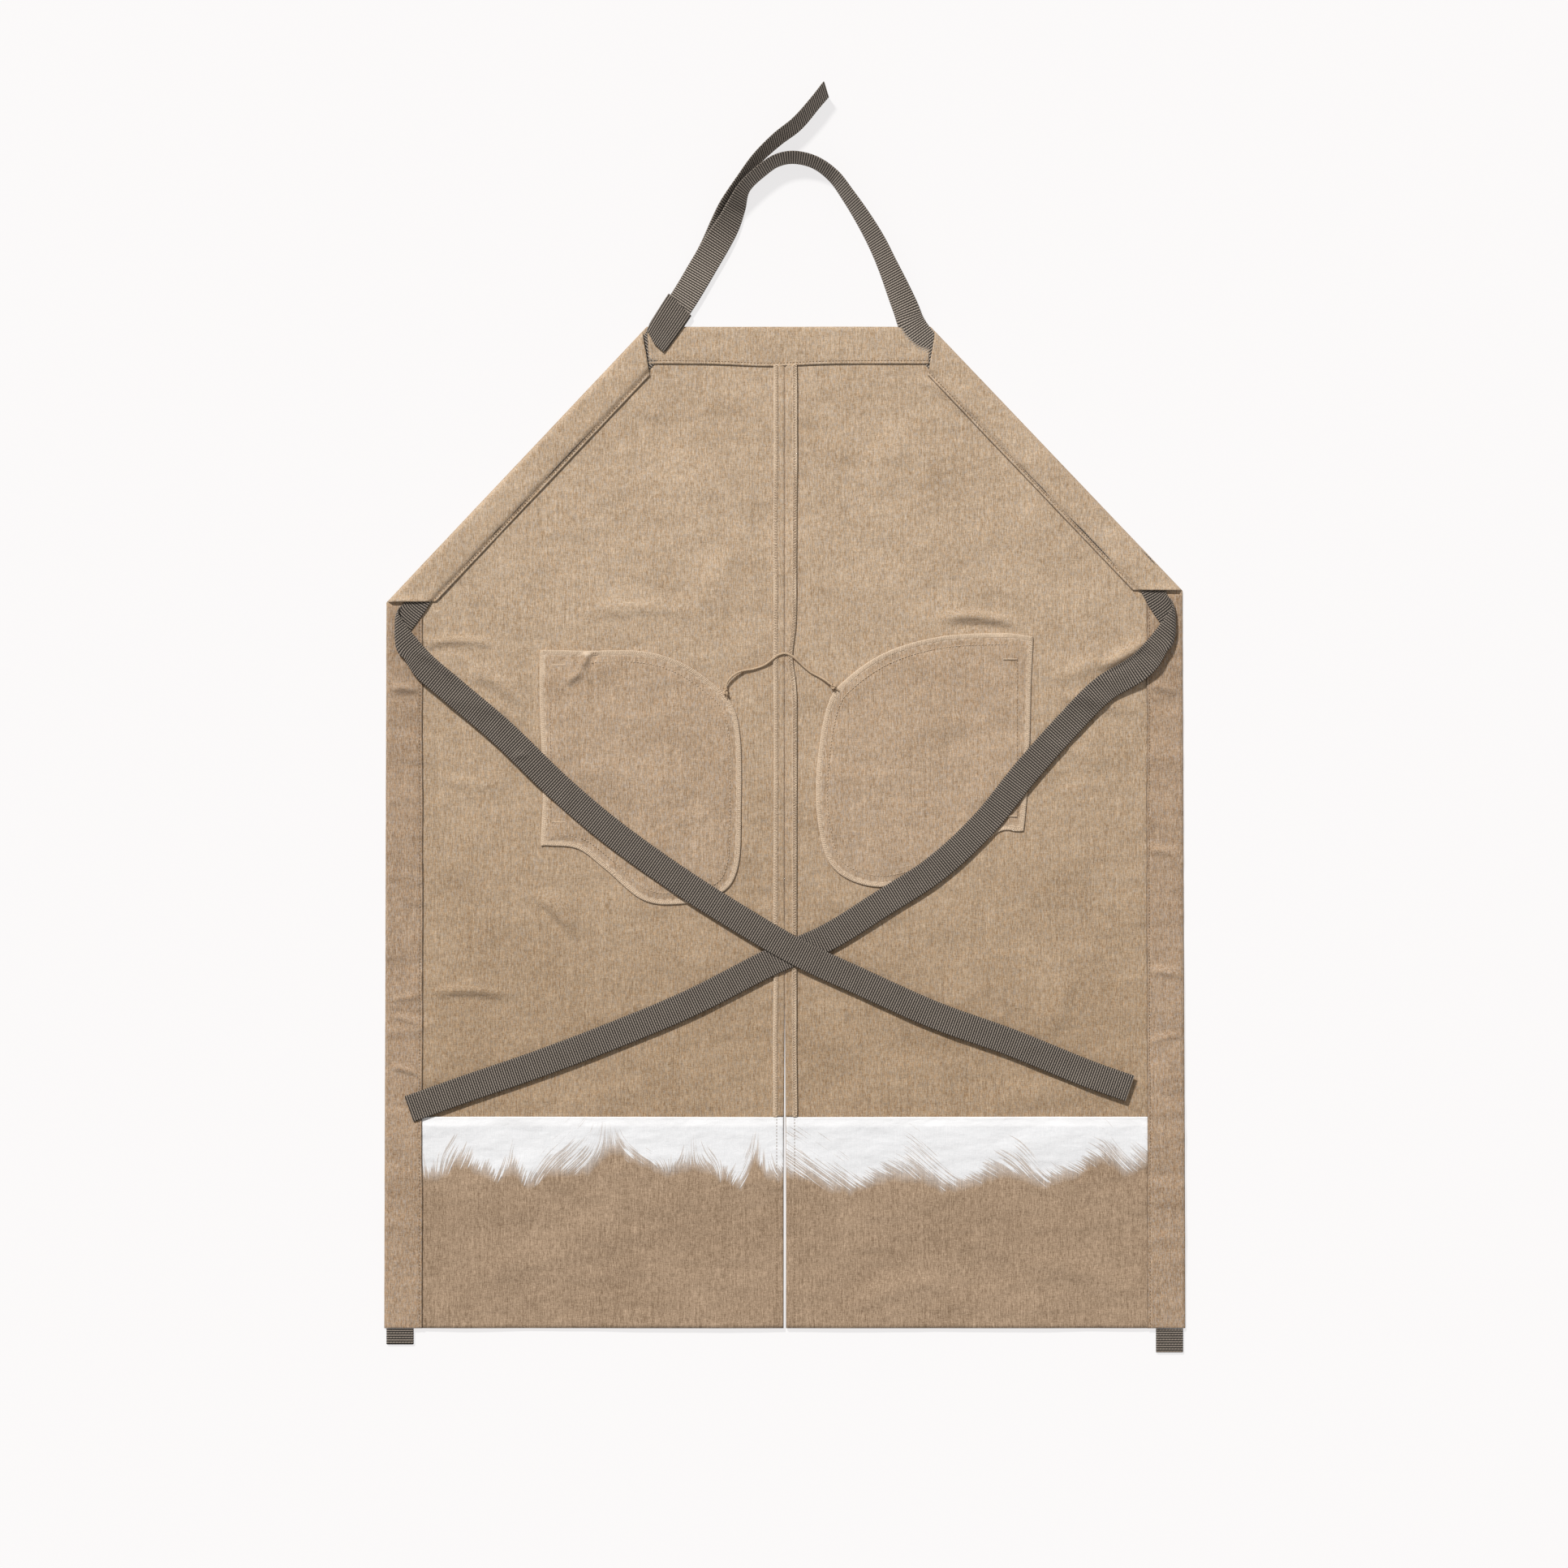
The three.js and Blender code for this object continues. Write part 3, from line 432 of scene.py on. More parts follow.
def chambray(name, light, deep, fade=None, banded=False):
    """Beige chambray: dark and light threads mixed by their weave tone, a little warmer or cooler
    from thread to thread. fade is (low Y, high Y, colour at the low end) for cloth that deepens;
    the edge attribute paints shade, dark brown, on a turned edge where it tucks against the cloth
    below, and a banded cloth is paler under its overlocked edge, by its band attribute."""
    n = Nodes(name, 0.92, sheen=0.12)
    where = n.add("ShaderNodeTexCoord").outputs["Object"]
    tone, threads = chambray_threads(n, where)
    colour = n.blend_colour(tone, deep, light)
    tint = n.noise(where, 1400, 1, 0.5, (1, 0.2, 1))
    warm = n.blend_colour(1.0, colour, rgb(244, 214, 176), "MULTIPLY")
    colour = n.blend_colour(n.math("MULTIPLY", n.spread(tint, 0.50, 0.66), 0.40), colour, warm)
    colour = n.blend_colour(n.math("MULTIPLY", n.spread(tint, 0.46, 0.34), 0.30), colour, rgb(172, 168, 168))
    if fade:
        low, high, shade = fade
        height = n.add("ShaderNodeSeparateXYZ", Vector=where).outputs["Y"]
        down = n.math("SUBTRACT", 1.0, n.spread(height, low, high))
        colour = n.blend_colour(down, colour, n.blend_colour(1.0, colour, shade, "MULTIPLY"))
    # Painted shade: where the edge attribute is set, the colour goes towards dark brown, for the shade of a
    # turned edge tucked against the cloth below.
    edge = n.attribute("edge")
    colour = n.blend_colour(n.math("MULTIPLY", edge, 0.85), colour, rgb(70, 54, 40))
    if banded:
        band = n.attribute("band")
        sewn = n.math("MULTIPLY_ADD", n.spread(threads, 0.35, 0.65), 0.28, 0.42)
        colour = n.blend_colour(n.math("MULTIPLY", band, sewn), colour, rgb(232, 211, 186))
    n.colour(colour)
    soft_bump(n, where, threads)
    return n.material


def webbing_finish(name, pill_light, pill_deep, gap_shade):
    """Coarse woven webbing: the pill attribute is 1 on top of a pill and -1 in a gap, where the
    colour is painted shade, near black, for the shade between pills; the run coordinates streak
    the pills with fibres."""
    n = Nodes(name, 0.85, sheen=0.1)
    pill = n.attribute("pill")
    run = n.add("ShaderNodeUVMap", {"uv_map": "Run"}).outputs["UV"]
    fibre = n.noise(run, 1.6, 2, 0.6, (1.0, 2.2, 1))
    broad = n.noise(run, 0.08, 2, 0.5)
    body = n.blend_colour(n.spread(fibre, 0.3, 0.75), pill_deep, pill_light)
    body = n.blend_colour(n.math("MULTIPLY", n.spread(broad, 0.35, 0.7), 0.22), body, pill_deep)
    # Painted shade: the gaps between pills take the near-black gap colour.
    n.colour(n.blend_colour(n.spread(pill, -0.62, 0.62), gap_shade, body))
    n.bump(n.math("MULTIPLY_ADD", fibre, 0.35, n.math("MULTIPLY", pill, 0.5)), 0.6, 0.0006)
    return n.material


def thread_finish(name, light, deep):
    """Sewing thread or cord: light and deep fibres in fine streaks."""
    n = Nodes(name, 0.75)
    where = n.add("ShaderNodeTexCoord").outputs["Object"]
    fibre = n.noise(where, 1800, 2, 0.6)
    n.colour(n.blend_colour(n.spread(fibre, 0.35, 0.7), deep, light))
    n.bump(fibre, 0.3, 0.0002)
    return n.material


def facing_finish():
    """Bleached chambray with beige dye brushed over it. The bristle coordinates run across and
    along the brush strokes, and above is the height over the dye's solid edge as a share of the
    strokes' reach. Noise drawn out along the strokes says how far each hair reaches; the hairs
    above the edge are thin, the dye below it is full."""
    n = Nodes("brushed_facing", 0.92, sheen=0.1)
    where = n.add("ShaderNodeTexCoord").outputs["Object"]
    tone, threads = chambray_threads(n, where)
    beige = n.blend_colour(tone, DEEP_LOW, LIGHT_LOW)
    white = n.blend_colour(tone, rgb(225, 225, 226), rgb(237, 236, 236))
    fold = n.attribute("fold")
    above = n.attribute("above")
    bristle = n.add("ShaderNodeUVMap", {"uv_map": "Run"}).outputs["UV"]
    hair = n.noise(bristle, 1.0, 1, 0.5, (1, 0.022, 1))
    tuft = n.noise(bristle, 0.20, 2, 0.55, (1, 0.14, 1))
    fleck = n.noise(where, 1100, 1, 0.5)
    mixed = n.math("MULTIPLY_ADD", tuft, 0.34, n.math("MULTIPLY", hair, 0.60))
    mixed = n.math("MULTIPLY_ADD", fleck, 0.06, mixed)
    reach = n.math("MULTIPLY_ADD", n.spread(mixed, 0.36, 0.66), 1.75, -0.52)
    over = n.math("SUBTRACT", reach, above)
    thin = n.math("MULTIPLY_ADD", n.spread(above, 0.45, -0.75), 0.52, 0.48)
    share = n.math("MULTIPLY", n.spread(over, -0.02, 0.24), thin)
    share = n.math("MAXIMUM", share, n.spread(above, -0.6, -1.5))
    pure = n.blend_colour(fold, white, rgb(241, 240, 240))
    n.colour(n.blend_colour(share, pure, beige))
    soft_bump(n, where, threads)
    return n.material


LIGHT_HIGH, DEEP_HIGH = rgb(226, 203, 176), rgb(150, 126, 99)
LIGHT_LOW, DEEP_LOW = rgb(199, 172, 145), rgb(126, 103, 80)
DOWNWARD_FADE = (-0.30, 0.14, rgb(230, 225, 218))
cloth_finish = chambray("chambray", LIGHT_HIGH, DEEP_HIGH, DOWNWARD_FADE)
banded_finish = chambray("chambray_banded", LIGHT_HIGH, DEEP_HIGH, DOWNWARD_FADE, banded=True)
bag_finish = chambray("chambray_bag", rgb(217, 192, 165), rgb(142, 118, 92), banded=True)
hem_finish = chambray("chambray_hem", rgb(206, 180, 153), rgb(132, 108, 84))
dyed_finish = facing_finish()
# The near-black last colours are painted shade for the gaps between pills.
web_finish = webbing_finish("webbing", rgb(178, 166, 153), rgb(120, 108, 97), rgb(14, 11, 9))
loop_finish = webbing_finish("webbing_loop", rgb(208, 195, 180), rgb(150, 137, 125), rgb(24, 20, 17))
thread_pale = thread_finish("thread_pale", rgb(232, 211, 185), rgb(184, 160, 134))
thread_tan = thread_finish("thread_tan", rgb(168, 142, 114), rgb(104, 82, 62))
cord_finish = thread_finish("cord_cotton", rgb(214, 190, 160), rgb(160, 134, 108))

# ---- Camera and light ----
VIEW_CENTRE = (-0.00075, -0.0604, 0.0)
CAMERA_HEIGHT = 4.6
VIEW_WIDTH = 1.449  # metres across the table that the camera takes in
SENSOR = 36.0
camera = bpy.data.objects.new("camera", bpy.data.cameras.new("camera"))
bpy.context.scene.collection.objects.link(camera)
camera.location = (VIEW_CENTRE[0], VIEW_CENTRE[1], CAMERA_HEIGHT)
camera.data.sensor_width = SENSOR
camera.data.lens = SENSOR * CAMERA_HEIGHT / VIEW_WIDTH
camera.data.clip_start, camera.data.clip_end = 0.1, 50
bpy.context.scene.camera = camera
bpy.context.scene.view_settings.view_transform = "Standard"

SUN_TURN = math.radians(118)  # where the key light stands, counter-clockwise from +X
SUN_HEIGHT = math.radians(43)
sun = bpy.data.objects.new("key_light", bpy.data.lights.new("key_light", "SUN"))
bpy.context.scene.collection.objects.link(sun)
sun.data.energy = 3.4
sun.data.angle = math.radians(6)
sun.rotation_euler = (math.radians(90) - SUN_HEIGHT, 0, SUN_TURN + math.radians(90))
world = bpy.data.worlds.new("studio")
bpy.context.scene.world = world
world.use_nodes = True
world.node_tree.nodes["Background"].inputs["Color"].default_value = (1.0, 0.99, 0.98, 1)
world.node_tree.nodes["Background"].inputs["Strength"].default_value = 0.36


def studio_floor():
    """A wide flat disc just under the apron: pale, and lit from below like a light table, so that
    only faint shadows show on it."""
    turn = np.linspace(0, 2 * math.pi, 96, endpoint=False)
    rings = np.array([0.0, 900.0, 2400.0, 6000.0])[:, None]
    points = np.stack([rings * np.cos(turn), rings * np.sin(turn), np.full((4, 96), -0.15)], -1)
    floor = put_mesh("studio_floor", points.reshape(-1, 3), [grid_faces(4, 96, wrap=True)[:, ::-1]],
                     floor_finish(), shade_smooth=False)


def floor_finish():
    n = Nodes("pale_floor", 0.95)
    n.shader.inputs["Base Color"].default_value = (0.20, 0.195, 0.19, 1)
    n.shader.inputs["Specular IOR Level"].default_value = 0.0
    n.shader.inputs["Emission Color"].default_value = (1.0, 0.985, 0.99, 1)
    n.shader.inputs["Emission Strength"].default_value = 0.75
    return n.material


studio_floor()


# ---- Sewing ----
def bars(starts, ends, radius, sides=5):
    """Spindles of thread: each is a ring at a fifth and at four fifths of its length and a point
    at each end; every bar is the same few faces."""
    along = unit(ends - starts)
    side = unit(np.cross(along, [0.0, 0.0, 1.0]))
    above = np.cross(side, along)
    turn = np.linspace(0, 2 * math.pi, sides, endpoint=False)
    ring = side[:, None, :] * np.cos(turn)[None, :, None] + above[:, None, :] * np.sin(turn)[None, :, None]
    ring = ring * radius
    low = (starts + (ends - starts) * 0.2)[:, None, :] + ring
    high = (starts + (ends - starts) * 0.8)[:, None, :] + ring
    points = np.concatenate([low, high, starts[:, None, :], ends[:, None, :]], 1)
    count = 2 * sides + 2
    k = np.arange(sides)
    n = (k + 1) % sides
    body = np.stack([k, k + sides, n + sides, n], 1)
    foot = np.stack([k, n, np.full(sides, 2 * sides)], 1)
    head = np.stack([n + sides, k + sides, np.full(sides, 2 * sides + 1)], 1)
    base = (np.arange(len(starts)) * count)[:, None, None]
    ends = (base + np.concatenate([foot, head])).reshape(-1, 3)
    return points.reshape(-1, 3), [(base + body).reshape(-1, 4), ends]


def together(meshes):
    """Several (points, faces) as one."""
    points, faces, base = [], [], 0
    for p, f in meshes:
        points.append(p)
        faces += [one + base for one in f]
        base += len(p)
    return np.vstack(points), faces


def stitch_row(plane, height, pitch=3.0, share=0.68, radius=0.34):
    """A row of stitches along a line in the plane: each fills share of the pitch and dips at its
    ends."""
    at = evenly(plane, pitch)
    step = np.diff(at, axis=0)
    start, end = at[:-1] + step * (1 - share) / 2, at[:-1] + step * (1 + share) / 2
    return bars(on_cloth(start, height), on_cloth(end, height), radius)


def overlock(plane, inward, height, pitch=1.3, width=4.0, lean=1.3, radius=0.34):
    """Overlock threads: slanting bars from the cut edge inwards, and a chain along their ends.
    plane is the edge, inward the unit directions off it."""
    rng = np.random.default_rng(len(plane))
    gone = lengths_along(plane)
    s = np.arange(0, gone[-1], pitch)
    s = s + rng.uniform(-0.2, 0.2, len(s))
    edge, inside, way = read_off(s, gone, plane), read_off(s + lean, gone, plane), read_off(s, gone, inward)
    reach = width + rng.uniform(-0.35, 0.35, (len(s), 1))
    slants = bars(on_cloth(edge - way * 0.25, height), on_cloth(inside + way * reach, height), radius)
    chain_at = inside + way * (reach * 0.96)
    chain = bars(on_cloth(chain_at[:-1], height), on_cloth(chain_at[1:], height), radius * 0.8)
    return together([slants, chain])


SEWN = {"overlock_thread": [], "stitch_thread": []}  # sewing that stays with the apron's body


def sew(mesh, kind="stitch_thread"):
    SEWN[kind].append(mesh)


def finish_piece(obj, slot_name, *nodes, body="apron_body"):
    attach(obj, body)
    if nodes:
        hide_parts(*nodes)
    return obj


# ---- Front panels ----
def front_panel(half):
    """Rows run up from the hem, columns out from the centre seam to the side or the armhole edge;
    the two columns beside the pocket slit are cut apart along it. Height is lift plus the cloth."""
    lower = np.linspace(HEM_LINE, half.corner[1], 232)
    rows = np.concatenate([lower, np.linspace(half.corner[1], BIB_TOP, 88)[1:]])
    reach = float(half.side(half.slit_middle))
    slit_column = 75
    columns = np.concatenate([
        np.linspace(0, (half.slit - POCKET_SLIT / 2) / reach, slit_column + 1),
        np.linspace((half.slit + POCKET_SLIT / 2) / reach, 1, 51)])
    inner = np.interp(rows, [HEM_LINE, VENT_OPEN, VENT_TOP], [1.1, 1.1, 0.02])
    outer = half.side(rows)
    x = inner[:, None] + (outer - inner)[:, None] * columns[None, :]
    plane = np.stack([half.sign * x, np.broadcast_to(rows[:, None], x.shape)], -1)
    keep = np.ones((len(rows) - 1, len(columns) - 1), bool)
    middle = (rows[:-1] + rows[1:]) / 2
    keep[np.abs(middle - half.slit_middle) < POCKET_OPENING / 2, slit_column] = False
    grid = on_cloth(plane, CLOTH)
    if half.sign < 0:
        grid, keep = grid[:, ::-1], keep[:, ::-1]
    panel = sheet_of(half.name + "_panel_cloth", grid, CLOTH, cloth_finish, keep)
    finish_piece(panel, "cloth", half.name + "_front_panel")


# ---- Turned margins ----
def turned_strip(name, one, other, distances, height, material, slot_name, nodes, attributes=None):
    """A strip of cloth between two lines: distances run from 0 on the first line to 1 on the
    second and height(distance grid, plane) is its upper face over the cloth. Unless attributes
    are given, the second line gets painted shade as an edge, more or less dark along its length."""
    share = distances[None, :, None]
    plane = one[:, None, :] * (1 - share) + other[:, None, :] * share
    if attributes is None:
        # Painted shade along the strip's second line, stronger or weaker along its length.
        edge_shade_strength = 0.75 + 0.25 * lattice(one[:, 1] + one[:, 0], 0 * one[:, 0], 18, 71)
        attributes = {"edge": (distances > 0.999) * edge_shade_strength[:, None]}
    grid = on_cloth(plane, 0)
    grid[..., 2] += height(np.broadcast_to(distances[None, :], plane.shape[:2]), plane)
    if np.cross(grid[0, 1] - grid[0, 0], grid[1, 0] - grid[0, 0])[2] < 0:
        grid = grid[:, ::-1]
        attributes = {k: v[:, ::-1] for k, v in attributes.items()}
    strip = sheet_of(name, grid, CLOTH, material, attributes=attributes)
    finish_piece(strip, slot_name, *nodes)


def side_hem(half):
    """A turned margin down the side: it rises off the folded edge, dips into a groove along the
    stitches near its inner edge, and climbs on to the bottom facing."""
    rows = np.linspace(half.corner[1] - 3, HEM_LINE, 420)
    share = (rows[0] - rows) / (rows[0] - HEM_LINE)
    width = SIDE_HEM - 2 * (1 - share) + 0.5 * lattice(rows, 0 * rows, 40, 11)
    outer = half.side(rows) - SIDE_GAP
    one = np.stack([half.sign * outer, rows], 1)
    other = np.stack([half.sign * (outer - width), rows], 1)
    distances = np.array([
        0, 0.012, 0.04, 0.1, 0.2, 0.3, 0.4, 0.5, 0.6, 0.7, 0.78, 0.84, 0.88, 0.905, 0.93, 0.95, 0.966, 1])

    def height(w, plane):
        from_inner = (1 - w) * SIDE_HEM
        fold = -0.9 * (1 - smooth(w * SIDE_HEM / 1.6))
        groove = -0.35 * np.exp(-((from_inner - HEM_STITCH) / 0.9) ** 2)
        climb = 1.1 * smooth((FACING_TOP + 12 - plane[..., 1]) / 10)
        pucker = 0.35 * lattice(plane[..., 1], plane[..., 0] * 0.3, 7, 12)
        return PANEL_TOP + fold + groove + climb + pucker * np.exp(-((from_inner - 3) / 6) ** 2)

    turned_strip(half.name + "_hem_cloth", one, other, distances, height, hem_finish, "cloth_deep",
                 [half.name + "_side_hem"])
    line = np.stack([half.sign * (outer - width + HEM_STITCH), rows], 1)
    rise = 1.75 + 1.1 * smooth((FACING_TOP + 12 - evenly(line, 3.0)[:-1, 1]) / 10)
    sew(stitch_row(line, rise))


def seam_allowance(half):
    """The turned seam allowance beside the centre seam: a little ripple along it, its cut edge
    standing up slightly under the overlock."""
    rows = np.linspace(BIB_TOP - TOP_HEM - 0.3, FACING_TOP + 0.3, 380)
    near = np.interp(rows, [VENT_OPEN, VENT_TOP], [1.2, 0.05])
    wide, stands, rise = half.allowance
    width = wide + 0.5 * lattice(rows, 0 * rows, 60, 21 + half.sign)
    if half.sign > 0:
        width = width - 4.2 * np.exp(-((rows - 58) / 22) ** 2)
    one = np.stack([half.sign * near, rows], 1)
    other = np.stack([half.sign * width, rows], 1)
    distances = np.array([0, 0.04, 0.1, 0.2, 0.35, 0.5, 0.6, 0.7, 0.8, 0.9, 1])

    def height(w, plane):
        stand = stands * smooth((w - 0.5) / 0.5)
        valley = 1.0 * (1 - smooth(w / 0.12))
        return PANEL_TOP + stand * (0.75 + 0.4 * lattice(plane[..., 1], 0 * w, 30, 24)) - valley

    band = np.broadcast_to(smooth((distances - 0.58) / 0.1)[None, :], (len(rows), len(distances)))
    turned_strip(half.name + "_seam_cloth", one, other, distances, height, banded_finish, "cloth",
                 [half.name + "_seam_allowance"], {"band": band})
    inward = np.stack([np.full(len(rows), -half.sign * 1.0), np.zeros(len(rows))], 1)
    sew(overlock(other, inward, rise, pitch=1.5, width=3.8), "overlock_thread")


def top_hem():
    """The bib's top edge turned over once: folded at the top, stitched above its lower edge."""
    low = BIB_TOP - TOP_HEM
    x = np.linspace(0, 1, 130)
    left = np.array([-LEFT.bib + 0.3, -LEFT.mouth_x(low) + 0.8])
    right = np.array([min(RIGHT.bib - 0.3, RIGHT.mouth_x(BIB_TOP) - 0.8), RIGHT.mouth_x(low) - 0.8])
    sag = -2.2 * np.exp(-((x - 0.43) / 0.16) ** 2)
    one = np.stack([left[0] + (right[0] - left[0]) * x, np.full(130, BIB_TOP - 0.1)], 1)
    other = np.stack([left[1] + (right[1] - left[1]) * x, low + sag], 1)
    distances = np.array([0, 0.02, 0.05, 0.12, 0.25, 0.4, 0.55, 0.7, 0.82, 0.87, 0.91, 0.94, 0.966, 1])

    def height(w, plane):
        down = w * TOP_HEM
        groove = 0.35 * np.exp(-((down - (TOP_HEM - TOP_STITCH)) / 0.9) ** 2)
        return PANEL_TOP - 0.9 * (1 - smooth(down / 1.6)) - groove

    turned_strip("top_hem_cloth", one, other, distances, height, cloth_finish, "cloth", ["bib_top_hem"])
    sew(stitch_row(other + [0, TOP_STITCH], 1.8))


# ---- Bottom facings, with dye brushed over their upper part ----
# For each facing, outwards from the centre seam: distance from the seam, Y of the dye's solid
# edge, how far single strokes reach above it, and the strokes' lean in degrees from +X.
BRUSHED = {
    "left": [
        (0, -416, 14, 125), (8, -416, 12, 118), (18, -414, 13, 96), (27.5, -398, 17, 76),
        (40, -424, 13, 62), (52, -420, 8, 60), (60, -416, 9, 110), (72, -410, 11, 130),
        (84, -405, 15, 98), (96, -410, 10, 62), (109, -414, 8, 100), (122, -409, 6, 140),
        (133, -405, 7, 146), (148, -397, 9, 140), (158, -392, 11, 118), (166, -395, 20, 70),
        (183, -408, 30, 46), (205, -410, 29, 42), (218, -411, 15, 50), (230, -420, 12, 58),
        (237, -425, 11, 64), (252, -411, 14, 82), (266, -418, 8, 66), (282, -414, 10, 74),
        (292, -405, 12, 66), (306, -404, 17, 62), (319, -418, 10, 80), (331, -416, 8, 100),
        (370, -416, 8, 100)],
    "right": [
        (0, -408, 30, 146), (5, -409, 30, 146), (25, -414, 30, 144), (45, -424, 27, 143),
        (62, -428, 14, 143), (70, -427, 6, 144), (85, -421, 8, 148), (100, -417, 10, 152),
        (112, -415, 26, 140), (121, -414, 30, 138), (135, -420, 25, 138), (146, -427, 14, 140),
        (166, -427, 6, 150), (181, -421, 9, 152), (201, -414, 15, 146), (216, -412, 27, 134),
        (226, -416, 24, 132), (241, -425, 11, 138), (256, -419, 6, 150), (272, -414, 9, 150),
        (287, -402, 13, 140), (297, -399, 20, 130), (317, -414, 14, 138), (331, -404, 16, 140),
        (370, -404, 16, 140)]}


def brush_marks(half, x, y):
    """Where each point lies in the brushed dye. above is its height over the dye's solid edge, as
    a share of the strokes' reach (of 14 mm below the edge). The edge is lowered where strokes are
    long, and the reach is half as much again as the table's, as few hairs go the whole way. The
    bristle coordinates run across and along strokes whose lean changes with x: with lean t,
    across is the height times cos t less the running sum of sin t, along the height times sin t
    plus the running sum of cos t."""
    marks = np.array(BRUSHED[half.name], float)
    line = np.linspace(0, 370, 741)
    edge, reach, lean = (np.interp(line, marks[:, 0], marks[:, k]) for k in (1, 2, 3))
    ragged = 1.6 * lattice(line, 0 * line, 6, 41) + 0.8 * lattice(line, 0 * line, 2.2, 42)
    edge = edge - 0.22 * (reach - 8) + ragged
    reach = 1.5 * reach
    lean = np.radians(np.convolve(np.pad(lean, 12, "edge"), np.ones(25) / 25, "valid"))
    step = half.sign * (line[1] - line[0])
    sums = [np.cumsum(f(lean)) * step for f in (np.sin, np.cos)]

    def at(values):
        return np.interp(np.abs(x), line, values)

    height = y - at(edge)
    above = np.where(height > 0, height / at(reach), height / 14)
    lean_at = at(lean)
    up = y - edge.mean()
    across = up * np.cos(lean_at) - at(sums[0])
    along = up * np.sin(lean_at) + at(sums[1])
    return above, np.stack([across, along], -1)


def facing(half):
    """The bottom facing: 1 mm columns and, through the brushed part, 1 mm rows."""
    brushed_foot = FACING_TOP - 84
    rows = np.linspace(FACING_TOP, brushed_foot, 85)
    rows = np.concatenate([rows, np.linspace(brushed_foot, HEM_LINE, 34)[1:]])
    columns = np.linspace(0, 1, 367)
    outer = half.side(rows) - SIDE_GAP
    x = 1.2 + (outer - 1.2)[:, None] * columns[None, :]
    share = ((rows - HEM_LINE) / (FACING_TOP - HEM_LINE))[:, None]
    y = rows[:, None] + 0.6 * lattice(x, 0 * x, 120, 35) * (share ** 6)
    x = half.sign * x
    above, run = brush_marks(half, x, y)
    fold = smooth((y - (FACING_TOP - 10)) / 3.0)
    grid = on_cloth(np.stack([x, y], -1), PANEL_TOP)
    grid[..., 2] += 0.25 * smooth((3 - (FACING_TOP - y)) / 3) - 0.5 * smooth((2.0 - np.abs(x)) / 1.0)
    grid, above, fold, run = (a[::-1, ::half.sign] for a in (grid, above, fold, run))
    cloth = sheet_of(half.name + "_facing_cloth", grid, CLOTH, dyed_finish,
                     attributes={"above": above, "fold": fold}, uv=run)
    finish_piece(cloth, "facing", half.name + "_hem_facing")
    down = np.linspace(FACING_TOP - 1, HEM_LINE + 1, 90)
    vent = np.stack([np.full(90, half.sign * half.vent_seam), down], 1)
    sew(stitch_row(vent, PANEL_TOP, radius=0.28))


# ---- Armhole casings ----
def casing(half):
    """A soft channel over the webbing: from the armhole fold it rises over the strap, falls to
    the stitched edge, and its two mouths stand open a little."""
    (ax, ay), (bx, by) = half.mouth()
    foot = half.corner[1] + 0.6
    inner_x = half.armhole_x(CASING_WIDTH, foot)
    along = np.linspace(0, 1, 190)[:, None]
    outer_x = half.armhole_x(0, foot)
    one = np.array([ax, ay]) * (1 - along) + np.array([float(outer_x), foot]) * along
    other = np.array([bx, by]) * (1 - along) + np.array([float(inner_x), foot]) * along
    one, other = one * [half.sign, 1], other * [half.sign, 1]
    distances = np.array([
        0, 0.015, 0.04, 0.08, 0.14, 0.22, 0.34, 0.46, 0.58, 0.68, 0.76, 0.82, 0.86, 0.89, 0.91, 0.93,
        0.964, 1])
    length = np.linalg.norm(one[-1] - one[0])

    def height(w, plane):
        from_outer, from_inner = w * CASING_WIDTH, (1 - w) * CASING_WIDTH
        t = np.broadcast_to(along, w.shape)
        rise = 0.95 + 3.1 * smooth(from_outer / 3.2)
        fall = 2.15 + 2.1 * smooth((from_inner - 2.6) / 5.0)
        top = np.minimum(rise, fall) + 0.25 * np.sin(math.pi * w)
        groove = -0.3 * np.exp(-((from_inner - CASING_STITCH) / 0.9) ** 2)
        ends = np.exp(-((t * length / 7) ** 2)) + np.exp(-(((1 - t) * length / 7) ** 2))
        gape = 1.3 * ends * np.sin(math.pi * np.clip(w * 1.05, 0, 1)) ** 0.7
        soft = 0.35 * lattice(plane[..., 0], plane[..., 1], 24, 51)
        soft = soft + 0.12 * lattice(t * length, w * 4, 12, 52) * np.exp(-((from_inner - 3) / 5) ** 2)
        return top + groove + gape + soft * smooth(from_outer / 4)

    turned_strip(half.name + "_casing_cloth", one, other, distances, height, cloth_finish, "cloth",
                 [half.name + "_armhole_casing"])
    share = 1 - CASING_STITCH / CASING_WIDTH
    sew(stitch_row(one * (1 - share) + other * share, 2.15))


# ---- Pocket bags ----
def round_curve(points, count=24):
    """A closed uniform Catmull-Rom curve through the points."""
    p0, p1, p2, p3 = (np.roll(points, k, axis=0)[:, None, :] for k in (1, 0, -1, -2))
    u = np.linspace(0, 1, count, endpoint=False)[None, :, None]
    square, cube = 2 * p0 - 5 * p1 + 4 * p2 - p3, 3 * p1 - p0 - 3 * p2 + p3
    curve = 0.5 * (2 * p1 + (p2 - p0) * u + square * u ** 2 + cube * u ** 3)
    return curve.reshape(-1, 2)


BAG_CREASES = {
    "left": [
        ((-183, 72), (-187, 44), 2.4, 4.2), ((-187, 46), (-204, 32), 2.6, 3.4),
        ((-176, 68), (-181, 38), 2.4, -1.6), ((-215, -50), (-120, -62), 9, 0.7),
        ((-215, 10), (-150, 4), 7, 0.6)],
    "right": [((205, 50), (120, 62), 9, 0.7), ((215, 5), (140, -4), 8, 0.6)]}


